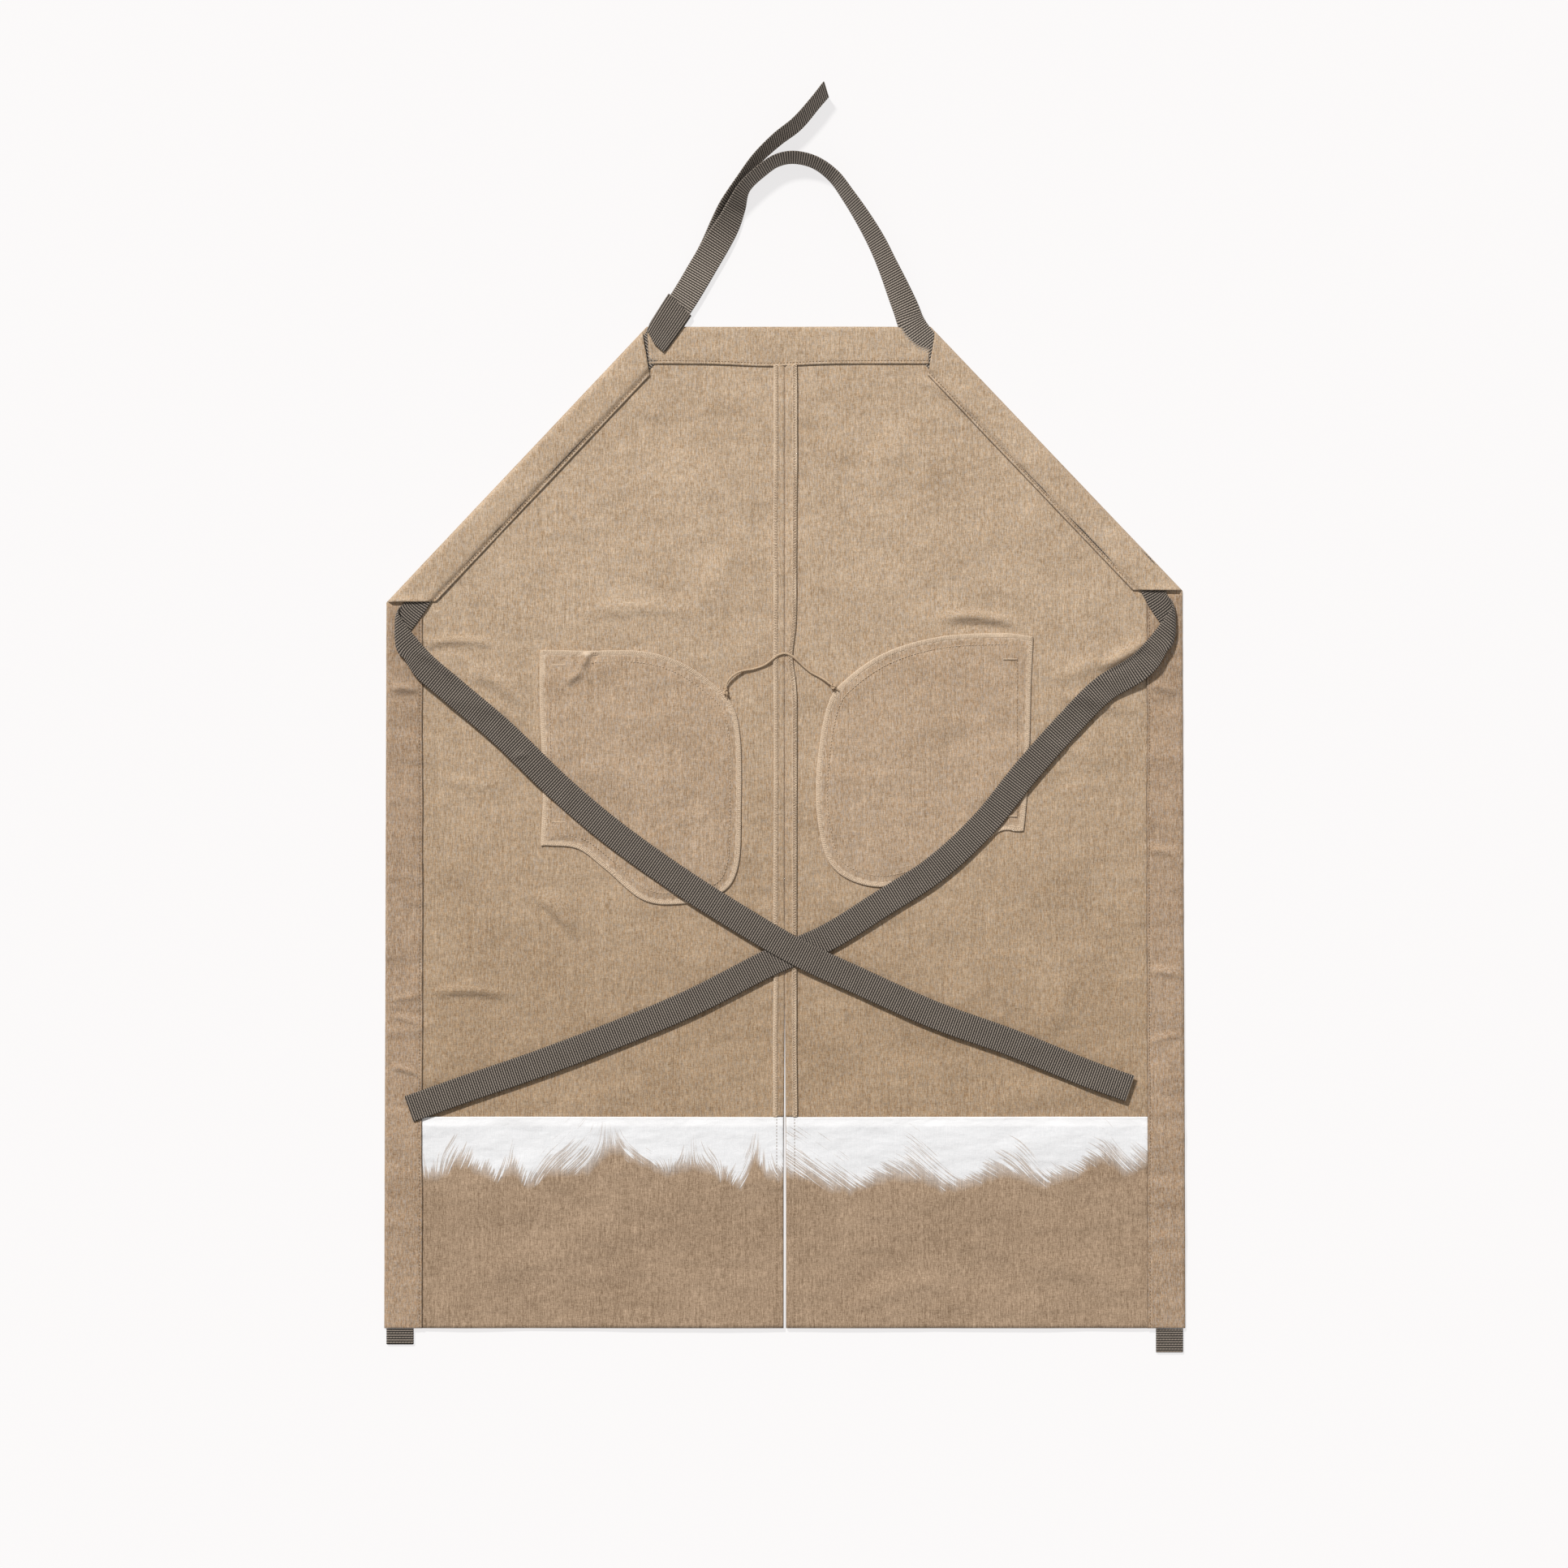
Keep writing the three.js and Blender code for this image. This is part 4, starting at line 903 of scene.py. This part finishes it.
def bag_height(half, distance, plane):
    """Upper face of a bag over the cloth: flat at its overlocked edge, swelling inside it."""
    x, y = plane[..., 0], plane[..., 1]
    swell = 0.9 * smooth((distance - 4) / 14)
    soft = 0.45 * lattice(x, y, 42, 61) + 0.2 * lattice(x, y, 17, 62)
    ridge = sum(crease(x, y, *one) for one in BAG_CREASES[half.name])
    return 2.25 + swell + soft * smooth(distance / 12) + ridge * smooth(distance / 5)


def pocket_bag(half):
    """Polar grid from the bag's middle out to its outline, closer together at the edge."""
    outline = evenly(round_curve(half.bag), 2.6, closed=True)
    middle = outline.mean(0)
    if np.cross(outline[10] - middle, outline[40] - middle) < 0:
        outline = outline[::-1]
    share = np.concatenate([np.linspace(0.02, 0.86, 42), np.linspace(0.88, 1, 12)])
    plane = middle + (outline - middle)[None, :, :] * share[:, None, None]
    distance = (1 - share)[:, None] * np.linalg.norm(outline - middle, axis=1)[None, :]
    grid = on_cloth(plane, 0)
    grid[..., 2] += bag_height(half, distance, plane)
    to_edge = np.linalg.norm(plane[:, :, None, :] - outline[None, None, ::3, :], axis=-1).min(-1)
    band = smooth((5.6 - to_edge) / 1.2)
    upper = sheet_of(half.name + "_bag_back_cloth", grid[:, ::-1], CLOTH, bag_finish,
                     attributes={"band": band[:, ::-1]}, wrap=True, pole=True)
    lower_grid = on_cloth(plane, 1.7)[:, ::-1]
    lower = sheet_of(half.name + "_bag_front_cloth", lower_grid, 0.6, bag_finish,
                     attributes={"band": band[:, ::-1]}, wrap=True, pole=True)
    x, y = outline.T
    for cloth, layer in ((upper, "back"), (lower, "front")):
        finish_piece(cloth, "cloth", f"{half.name}_pocket_bag_{layer}")
    tangent = unit(np.roll(outline, -1, 0) - np.roll(outline, 1, 0))
    inward = np.stack([-tangent[:, 1], tangent[:, 0]], 1)
    loop, ways = np.vstack([outline, outline[:1]]), np.vstack([inward, inward[:1]])
    sew(overlock(loop, ways, 2.35), "overlock_thread")
    seam = outline + inward * BAG_SEAM
    away = half.slit - np.abs(seam[:, 0])
    for run in np.split(np.arange(len(seam)), np.where(away < 16)[0]):
        if len(run) > 6:
            sew(stitch_row(seam[run], 3.25, radius=0.3), "overlock_thread")
    end = POCKET_OPENING / 2
    y = half.slit_middle + np.linspace(-end, end, 60)
    opening = np.stack([np.full(60, half.sign * (half.slit - 5)), y], 1)
    sew(stitch_row(opening, 3.0, radius=0.28))
    bartack(half, "upper", half.slit_middle + end)
    bartack(half, "lower", half.slit_middle - end)


def bartack(half, name, y):
    """A bar of dense stitches across the end of the pocket's slit."""
    x = half.sign * (half.slit - 12) + np.linspace(-6, 6, 16)
    start = np.stack([x, np.full(16, y - 1.0)], 1)
    end = start + [0.35, 2.0]
    points, faces = bars(on_cloth(start, 3.45), on_cloth(end, 3.45), 0.36)
    tack = put_mesh(f"{half.name}_{name}_tack", points, faces, thread_pale)
    finish_piece(tack, "thread", f"{half.name}_{name}_bartack")


# ---- Tie cord and its knots ----
def tube(path, radius, sides, twist, closed=False):
    """A circle carried along the path; twist turns two plies round each other, which shows as two
    shallow valleys in the radius."""
    along = unit(np.roll(path, -1, 0) - np.roll(path, 1, 0) if closed else np.gradient(path, axis=0))
    side = unit(np.cross(along, [0.0, 0.0, 1.0]) + 1e-6)
    above = np.cross(side, along)
    turn = np.linspace(0, 2 * math.pi, sides, endpoint=False)[None, :]
    s = lengths_along(path)[:, None]
    r = radius * (0.80 + 0.20 * np.abs(np.cos(turn - twist * s)))
    if not closed:
        r = r * np.minimum(1, 0.25 + np.minimum(s, s[-1] - s) / (0.8 * radius))
    ring = side[:, None, :] * np.cos(turn)[..., None] + above[:, None, :] * np.sin(turn)[..., None]
    points = path[:, None, :] + ring * r[..., None]
    rows, columns = points.shape[:2]
    flat = points.reshape(-1, 3)
    if closed:
        return flat, [grid_faces(rows + 1, columns, wrap=True) % (rows * columns)]
    ends = np.array([np.arange(columns)[::-1], np.arange(columns) + (rows - 1) * columns])
    return flat, [grid_faces(rows, columns, wrap=True), ends]


# Where the tie cord runs: x, y and its middle's height over the cloth's underside.
ON_PANEL, ON_SEAM, ON_BAG = 2.1, 3.2, 4.3
CORD_ROUTE = [
    (-54.4, 27.2, ON_BAG), (-53.6, 32.6, ON_BAG), (-49.5, 38.2, ON_BAG), (-44.5, 41.8, ON_BAG - 0.3),
    (-38.5, 44.2, ON_PANEL + 0.8), (-28, 46, ON_PANEL), (-18.5, 49.6, ON_PANEL + 0.2),
    (-11.5, 54.6, ON_SEAM), (-6, 58.6, ON_SEAM), (0, 60.2, ON_SEAM), (6, 58.2, ON_SEAM),
    (11.5, 54, ON_SEAM), (18, 47.6, ON_PANEL + 0.2), (25, 42.2, ON_PANEL), (31.5, 38.8, ON_PANEL + 0.4),
    (37, 35.6, ON_BAG - 0.3), (42.4, 31.4, ON_BAG)]
CORD_WIDE = 2.0


def knot(name, end, beyond, node):
    """A small overhand knot: a trefoil tube pulled tight, with a cut end sticking out."""
    t = np.linspace(0, 2 * math.pi, 72, endpoint=False)
    trefoil = np.stack([np.sin(t) + 2 * np.sin(2 * t), np.cos(t) - 2 * np.cos(2 * t), -np.sin(3 * t)], 1)
    turn = math.atan2(beyond[1], beyond[0])
    spin = np.array([[math.cos(turn), -math.sin(turn), 0], [math.sin(turn), math.cos(turn), 0], [0, 0, 1]])
    centre = end + [3.0 * beyond[0], 3.0 * beyond[1], 0.2]
    ball = (trefoil * [1.0, 0.62, 1.2]) @ spin.T + centre
    cut_end = np.array([5.2 * beyond[0] + 1.2, 5.2 * beyond[1] - 1.0, -1.2])
    tail = centre + np.linspace(0, 1, 12)[:, None] * cut_end
    points, faces = together([tube(ball, 0.85, 10, 2.2, closed=True), tube(tail, 0.6, 8, 2.2)])
    made = put_mesh(name, points, faces, cord_finish)
    finish_piece(made, "cord", node)
    return made


def tie_cord():
    route = np.array(CORD_ROUTE, float)
    path = through(route, 0.45)[0]
    path[:, 2] += lift(path[:, 0], path[:, 1])
    points, faces = tube(path, CORD_WIDE / 2 * 1.08, 12, 1.9)
    cord = put_mesh("tie_cord_cotton", points, faces, cord_finish)
    finish_piece(cord, "cord", "pocket_tie_cord")
    left = knot("left_knot_cotton", path[0], (0.0, -1.0), "left_cord_knot")
    right = knot("right_knot_cotton", path[-1], (0.8, -0.6), "right_cord_knot")


# ---- Webbing ----
COLUMNS = 9  # pills across the webbing
PILL = 2.2  # length of one rib along the webbing
PILL_RISE = 0.40


def weave_height(across, s):
    """Ribs across the webbing, each a row of pills, and every other rib half a pill out of step.
    Height is the rib's arch along times the pill's arch across, from -1 to 1."""
    rib = np.floor(s / PILL + 0.5)
    place = across / WEB_WIDTH * COLUMNS + 0.5 * np.mod(rib, 2)
    arch = np.abs(np.cos(math.pi * place)) ** 0.7
    along = (0.5 + 0.5 * np.cos(2 * math.pi * s / PILL)) ** 0.8
    return 2 * along * (0.58 + 0.42 * arch) - 1


def ribbon(name, place, length, along_step=0.55, per_cord=3, finish=web_finish):
    """A woven strap. place(s, across, off) gives points for distance along, distance across and
    distance off the strap's middle surface. The section is a loop: the upper face from one
    selvage to the other and the lower face back; pills stand off both faces."""
    count = COLUMNS * per_cord + 1
    row = np.linspace(-WEB_WIDTH / 2, WEB_WIDTH / 2, count)
    s = np.linspace(0, length, int(round(length / along_step)) + 1)[:, None]
    upper = weave_height(row[None, :] * (1 - 1e-6), s)
    lower = weave_height(row[None, ::-1] * (1 - 1e-6), s + PILL / 2)
    selvage = np.sign(row) * (np.abs(row) > WEB_WIDTH / 2 - 0.1)
    across_up = row[None, :] + 0.14 * np.cos(2 * math.pi * s / PILL) * selvage[None, :]
    rim = np.where(np.abs(row) > WEB_WIDTH / 2 - 0.1, 0.45, 1.0)
    off_up = (WEB / 2 + PILL_RISE * (upper * 0.5 + 0.1)) * rim[None, :]
    off_down = -(WEB / 2 + PILL_RISE * (lower * 0.5 + 0.1)) * rim[None, ::-1]
    across = np.concatenate([across_up, across_up[:, ::-1]], 1)
    off = np.concatenate([off_up, off_down], 1)
    pill = np.concatenate([upper, lower], 1)
    points = place(np.broadcast_to(s, across.shape), across, off)
    rows, columns = across.shape
    k = np.arange(count - 1)
    cap = np.stack([k, columns - 1 - k, columns - 2 - k, k + 1], 1)
    sides = grid_faces(rows, columns, wrap=True)
    far = cap[:, ::-1] + (rows - 1) * columns
    flat = points.reshape(-1, 3)
    faces = np.concatenate([sides, cap, far])
    a = flat[sides[count // 2]]
    normal = np.cross(a[2] - a[0], a[3] - a[1])
    if np.dot(normal, points[0, count // 2] - points[0, count + count // 2]) < 0:
        faces = faces[:, ::-1]
    uv = np.stack([across, np.broadcast_to(s, across.shape)], -1).reshape(-1, 2)
    return put_mesh(name, flat, [faces], finish, {"pill": pill}, uv)


def bend_between(strap, node):
    """Hides the strap's solid and bakes the strap's placement into its mesh."""
    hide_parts(node)
    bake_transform(strap)


def bend_at_mouth(strap, node, half):
    """Finds the direction square to the casing's upper mouth, then hides the strap's solid and bakes the
    strap's placement, as bend_between does.
    """
    (x0, y0), (x1, y1) = half.mouth() * [half.sign, 1]
    out = np.array([y0 - y1, x1 - x0]) / math.hypot(x1 - x0, y1 - y0)
    out *= np.sign(np.dot(out, [-half.sign, 1]))
    bend_between(strap, node)


# Stations of the neck's webbing: x, distance up from the bib's top edge, height, roll in degrees.
LOW_WEB = WEB / 2 + 0.1
KEEPER_FLOOR = 0.7
LOWER_MID = KEEPER_FLOOR + WEB + 0.3 + WEB / 2
UPPER_MID = LOWER_MID + WEB + 0.3
NECK_STATIONS = [
    (118.5, 0, STRAP_MID, 8), (111.4, 17.2, 2, 20), (95.3, 54.7, LOW_WEB, 45),
    (84.8, 77.2, LOW_WEB, 51), (72.8, 98.2, LOW_WEB, 57), (58.5, 120, LOW_WEB, 63),
    (45, 138, LOW_WEB, 66), (27.4, 150.7, LOW_WEB, 69), (7.5, 155.2, LOW_WEB, 69),
    (-7.5, 152.2, LOW_WEB, 69), (-20.6, 143.6, LOW_WEB, 68), (-36.4, 128.7, LOW_WEB, 66),
    (-45, 109.5, 1.4, 46), (-51.8, 94.5, 2.6, 32), (-61.5, 78.2, 3.6, 16), (-75.8, 54.7, 4.1, 2),
    (-91.3, 28.6, UPPER_MID, 0), (-105, 7.9, UPPER_MID, 0), (-117.4, -10.9, UPPER_MID, 0)]
TAIL_STATIONS = [
    (-93.9, 24.6, LOWER_MID, 0), (-80.4, 46.9, 1.4, 1), (-66.6, 71.7, LOW_WEB, 8),
    (-57.4, 94.1, LOW_WEB, 27), (-51.5, 112.1, LOW_WEB, 52), (-41.8, 132.1, LOW_WEB, 71),
    (-26.5, 153.1, LOW_WEB, 70), (-7.4, 171.6, LOW_WEB, 66), (11.4, 186.4, LOW_WEB, 64),
    (28.2, 205.7, LOW_WEB, 66), (38.2, 217.9, LOW_WEB, 64)]


def rolled(stations, raised, cut=0.0):
    """Place function of a strap through stations: its middle line is a curve through them, and it
    leans up on one edge by their roll. The far end may be cut slanting."""
    at, along, _ = through([(x, BIB_TOP + up, z, roll) for x, up, z, roll in stations], 0.5)
    direction = unit(along[:, :3])
    gone = lengths_along(at[:, :3])
    side = unit(np.cross(direction, [0, 0, 1.0])) * raised
    above = unit(np.cross(side, direction)) * raised
    roll = np.radians(at[:, 3])[:, None]
    wide = side * np.cos(roll) + above * np.sin(roll)
    thick = above * np.cos(roll) - side * np.sin(roll)
    middle = at[:, :3] + np.array([0, 0, 1.0]) * (WEB_WIDTH / 2) * np.sin(roll)
    length = gone[-1]

    def place(s, across, off):
        s = s + across / WEB_WIDTH * cut * (s / length) * raised
        past = np.maximum(0, s - length)[..., None] * direction[-1]
        centre, out, up = (read_off(s, gone, values) for values in (middle, wide, thick))
        return centre + past + out * across[..., None] + up * off[..., None]

    return place, length


def down_casing(half, distance):
    """Station on the middle line of the casing's webbing, this far below the bib's top edge."""
    x = half.sign * half.armhole_x(CASING_WIDTH / 2, BIB_TOP - distance)
    return x, -distance, STRAP_MID, 0


def neck_strap():
    stations = [down_casing(RIGHT, distance) for distance in (CASED_TOP, 58, 42)]
    place, length = rolled(stations + NECK_STATIONS, 1)
    strap = ribbon("neck_strap_webbing", place, length, finish=loop_finish)
    bend_at_mouth(strap, "neck_strap", RIGHT)


KEEPER_FOOT = np.array([-120.4, BIB_TOP - 15.4])
KEEPER_HEAD = np.array([-96.8, BIB_TOP + 20.3])
KEEPER_LENGTH = float(np.linalg.norm(KEEPER_HEAD - KEEPER_FOOT))
KEEPER_WAY = (KEEPER_HEAD - KEEPER_FOOT) / KEEPER_LENGTH


def adjuster():
    """The short strap from the left casing into the keeper, and the tail that comes out of it."""
    def in_keeper(distance, height):
        return *(KEEPER_FOOT - [0, BIB_TOP] + KEEPER_WAY * distance), height, 0

    stations = [down_casing(LEFT, distance) for distance in (CASED_TOP, 58)]
    stations += [in_keeper(0, STRAP_MID), in_keeper(20, LOWER_MID), in_keeper(KEEPER_LENGTH - 6, LOWER_MID)]
    place, length = rolled(stations, 1)
    strap = ribbon("adjuster_webbing", place, length, finish=loop_finish)
    bend_at_mouth(strap, "adjuster_strap", LEFT)
    stations = [in_keeper(KEEPER_LENGTH - 8, LOWER_MID), in_keeper(KEEPER_LENGTH - 2, LOWER_MID)]
    place, length = rolled(stations + TAIL_STATIONS, -1, cut=-6)
    tail = ribbon("tail_webbing", place, length, finish=loop_finish)
    bend_between(tail, "neck_strap_tail")


def keeper():
    """A webbing band round both straps: its section is a flat ring with round sides, and its ribs
    run across the straps; the roof reaches further down than the floor."""
    left = np.array([-KEEPER_WAY[1], KEEPER_WAY[0]])
    flat, round_side = 11.8, 2.2  # half the flat part's width, and how far a side bulges past it
    low, high = 0.95, 5.85
    straight = np.linspace(-flat, flat, 46)
    bend = np.linspace(-math.pi / 2, math.pi / 2, 14)[1:-1]
    bulge = flat + round_side * np.cos(bend)
    middle, tall = (low + high) / 2, (high - low) / 2
    out = np.concatenate([straight, bulge, straight[::-1], -bulge])
    rise = tall * np.sin(bend)
    up = np.concatenate([np.full(46, low), middle + rise, np.full(46, high), middle - rise])
    normal_out = np.concatenate([np.zeros(46), np.cos(bend), np.zeros(46), -np.cos(bend)])
    normal_up = np.concatenate([np.full(46, -1.0), np.sin(bend), np.full(46, 1.0), -np.sin(bend)])
    ring = lengths_along(np.stack([out, up], 1))
    rows = np.linspace(0, 1, 66)[:, None]
    roof = smooth((up - middle) / tall * 0.5 + 0.5)
    start = KEEPER_LENGTH * 0.40 * (1 - roof) - 0.5 * roof + (0.18 * np.abs(out) + 0.30 * out) * roof
    end = KEEPER_LENGTH + out * 0.2
    s = start + (end - start) * rows
    around = np.broadcast_to(ring, s.shape)
    narrow = 1 - 0.12 * roof * (1 - rows) ** 2
    pill = weave_height((s - s.min()) % WEB_WIDTH - WEB_WIDTH / 2, around)
    shell = []
    for push in (WEB / 2 + PILL_RISE * 0.5 * pill, np.full(s.shape, -WEB / 2)):
        o, u = out * narrow + normal_out * push, up + normal_up * push
        plane = KEEPER_FOOT + KEEPER_WAY * s[..., None] + left * o[..., None]
        shell.append(np.concatenate([plane, u[..., None]], -1))
    rows_n, columns = s.shape
    count = rows_n * columns
    outer = grid_faces(rows_n, columns, wrap=True)
    inner = outer[:, ::-1] + count
    k = np.arange(columns)
    n = (k + 1) % columns
    foot = np.stack([n, k, k + count, n + count], 1)
    top = (rows_n - 1) * columns
    head = np.stack([k + top, n + top, n + top + count, k + top + count], 1)
    faces = np.concatenate([outer, inner, foot, head])[:, ::-1]
    points = np.concatenate([one.reshape(-1, 3) for one in shell])
    uv = np.tile(np.stack([s, around], -1).reshape(-1, 2), (2, 1))
    band = put_mesh("keeper_webbing", points, [faces], web_finish, {"pill": np.tile(pill.ravel(), 2)}, uv)
    finish_piece(band, "webbing", "neck_keeper", body="neck_loop")


def casing_strap(half):
    """The webbing inside a casing, flat, between the parts of it that bend at the two mouths."""
    top, foot, along = half.armhole(CASING_WIDTH / 2)
    start = top + along * (CASED_TOP / -along[1] - 4)
    length = float(np.linalg.norm(foot - start)) - CASED_FOOT

    def place(s, across, off):
        x = half.sign * (start[0] + along[0] * s) + across * along[1] * half.sign
        y = start[1] + along[1] * s - across * along[0]
        return np.stack([x, y, lift(x, y) * 0.6 + STRAP_MID + 0.3 + off], -1)

    strap = ribbon(half.name + "_casing_webbing", place, length, along_step=1.1, per_cord=2)
    finish_piece(strap, "webbing", half.name + "_casing_strap")


# For each tie: radius of its fold, height its middle rests at, how far inside the body's corner
# it leaves its casing, and points along it, inwards from the corner and down from its bend.
TIE_REST = 4.7
TIES = {
    "left": (2.5, TIE_REST + 1.5, 24.0, [
        (29.6, 50.4), (59.9, 77), (105.9, 116), (159.9, 168), (205.9, 207), (266.9, 251),
        (329.9, 291), (381.9, 321), (437.9, 347), (505.9, 377.5), (576.9, 403), (645.9, 431),
        (686.4, 445.4)]),
    "right": (3.6, TIE_REST, 16.5, [
        (37.5, 54), (73.5, 77), (105.5, 109), (145.5, 154), (183.5, 201), (227.5, 242),
        (278, 275), (328.9, 306.5), (378.5, 328), (455.5, 367), (524.5, 396), (595.5, 423),
        (665.5, 447), (714.2, 464.4)])}


def waist_tie(half):
    """The tie comes out of its casing, wraps half a turn of radius turn round a line along Y and
    runs back over itself: unrolled, a is the distance outwards past that line. It settles on the
    cloth over the next stretch."""
    turn, rest, set_in, route = TIES[half.name]
    fold = half.corner[0] - TIE_FOLD
    around = math.pi * turn
    inside = []
    for distance, share in ((36, 0.1), (18, 0.35)):
        y = half.corner[1] + distance
        inside.append((float(half.armhole_x(CASING_WIDTH / 2, y)) - fold + share * (29 - set_in), y))
    stations = inside + [(half.corner[0] - set_in - fold, WAIST_BEND - 0.4)]
    stations += [(around + fold - (half.corner[0] - x), WAIST_BEND - down) for x, down in route]
    at, along, gone = through(stations, 0.5)
    length = gone[-1]
    fold_y = float(np.interp(around / 2, at[:, 0], at[:, 1]))

    def place(s, across, off):
        here, way = read_off(s, gone, at), read_off(s, gone, along)
        a = here[..., 0] - way[..., 1] * across
        y = here[..., 1] + way[..., 0] * across
        bent = np.clip(a, 0, around) / turn
        out = np.where(a > around, around - a, np.where(a > 0, (turn - off) * np.sin(bent), a))
        past = smooth((a - around) / 52)
        over = STRAP_MID + 2 * turn - off - past * (STRAP_MID + 2 * turn - rest)
        under = STRAP_MID + turn - (turn - off) * np.cos(bent)
        z = np.where(a > around, over, np.where(a > 0, under, STRAP_MID + off))
        rounded = 4.0 * np.clip(np.abs(y - fold_y) / 22, 0, 1.15) ** 3
        x = half.sign * (fold + out - rounded * np.exp(-(((a - around / 2) / 13) ** 2)))
        return np.stack([x, y, z + lift(x, y) * 0.8], -1)

    tie = ribbon(half.name + "_tie_webbing", place, length)
    bend_between(tie, half.name + "_waist_tie")


def hem_tab(half):
    """A short loop of webbing under the side hem, folded at its tip."""
    root, tip = HEM_LINE - 0.6, HEM_LINE + 1.2 - half.tab
    low, turn = 0.80, 0.68  # height of the lower ply's middle, and the fold's radius
    bend = np.linspace(-math.pi / 2, math.pi / 2, 9)[1:-1]
    run = np.linspace(root, tip, 12)
    y = np.concatenate([run, tip - turn * np.cos(bend), run[::-1]])
    z = np.concatenate([np.full(12, low), low + turn * (1 + np.sin(bend)), np.full(12, low + 2 * turn)])
    line = np.stack([y, z], 1)
    at, along, gone = through(line, 0.4)
    centre = half.sign * TAB_CENTRE

    def place(s, across, off):
        here, way = read_off(s, gone, at), read_off(s, gone, along)
        y, z = here[..., 0] + way[..., 1] * off, here[..., 1] - way[..., 0] * off
        return np.stack([centre + across, y, z], -1)

    tab = ribbon(half.name + "_tab_webbing", place, gone[-1])
    finish_piece(tab, "webbing", half.name + "_hem_tab", body=half.name + "_tab")


# ---- The apron ----
tie_cord()
for half in HALVES:
    front_panel(half)
    side_hem(half)
    seam_allowance(half)
    facing(half)
    casing(half)
    pocket_bag(half)
    casing_strap(half)
    waist_tie(half)
    hem_tab(half)
top_hem()
neck_strap()
adjuster()
keeper()
for kind, finish in (("overlock_thread", thread_pale), ("stitch_thread", thread_tan)):
    thread_points, thread_faces = together(SEWN[kind])
    finish_piece(put_mesh(kind, thread_points, thread_faces, finish), "thread")
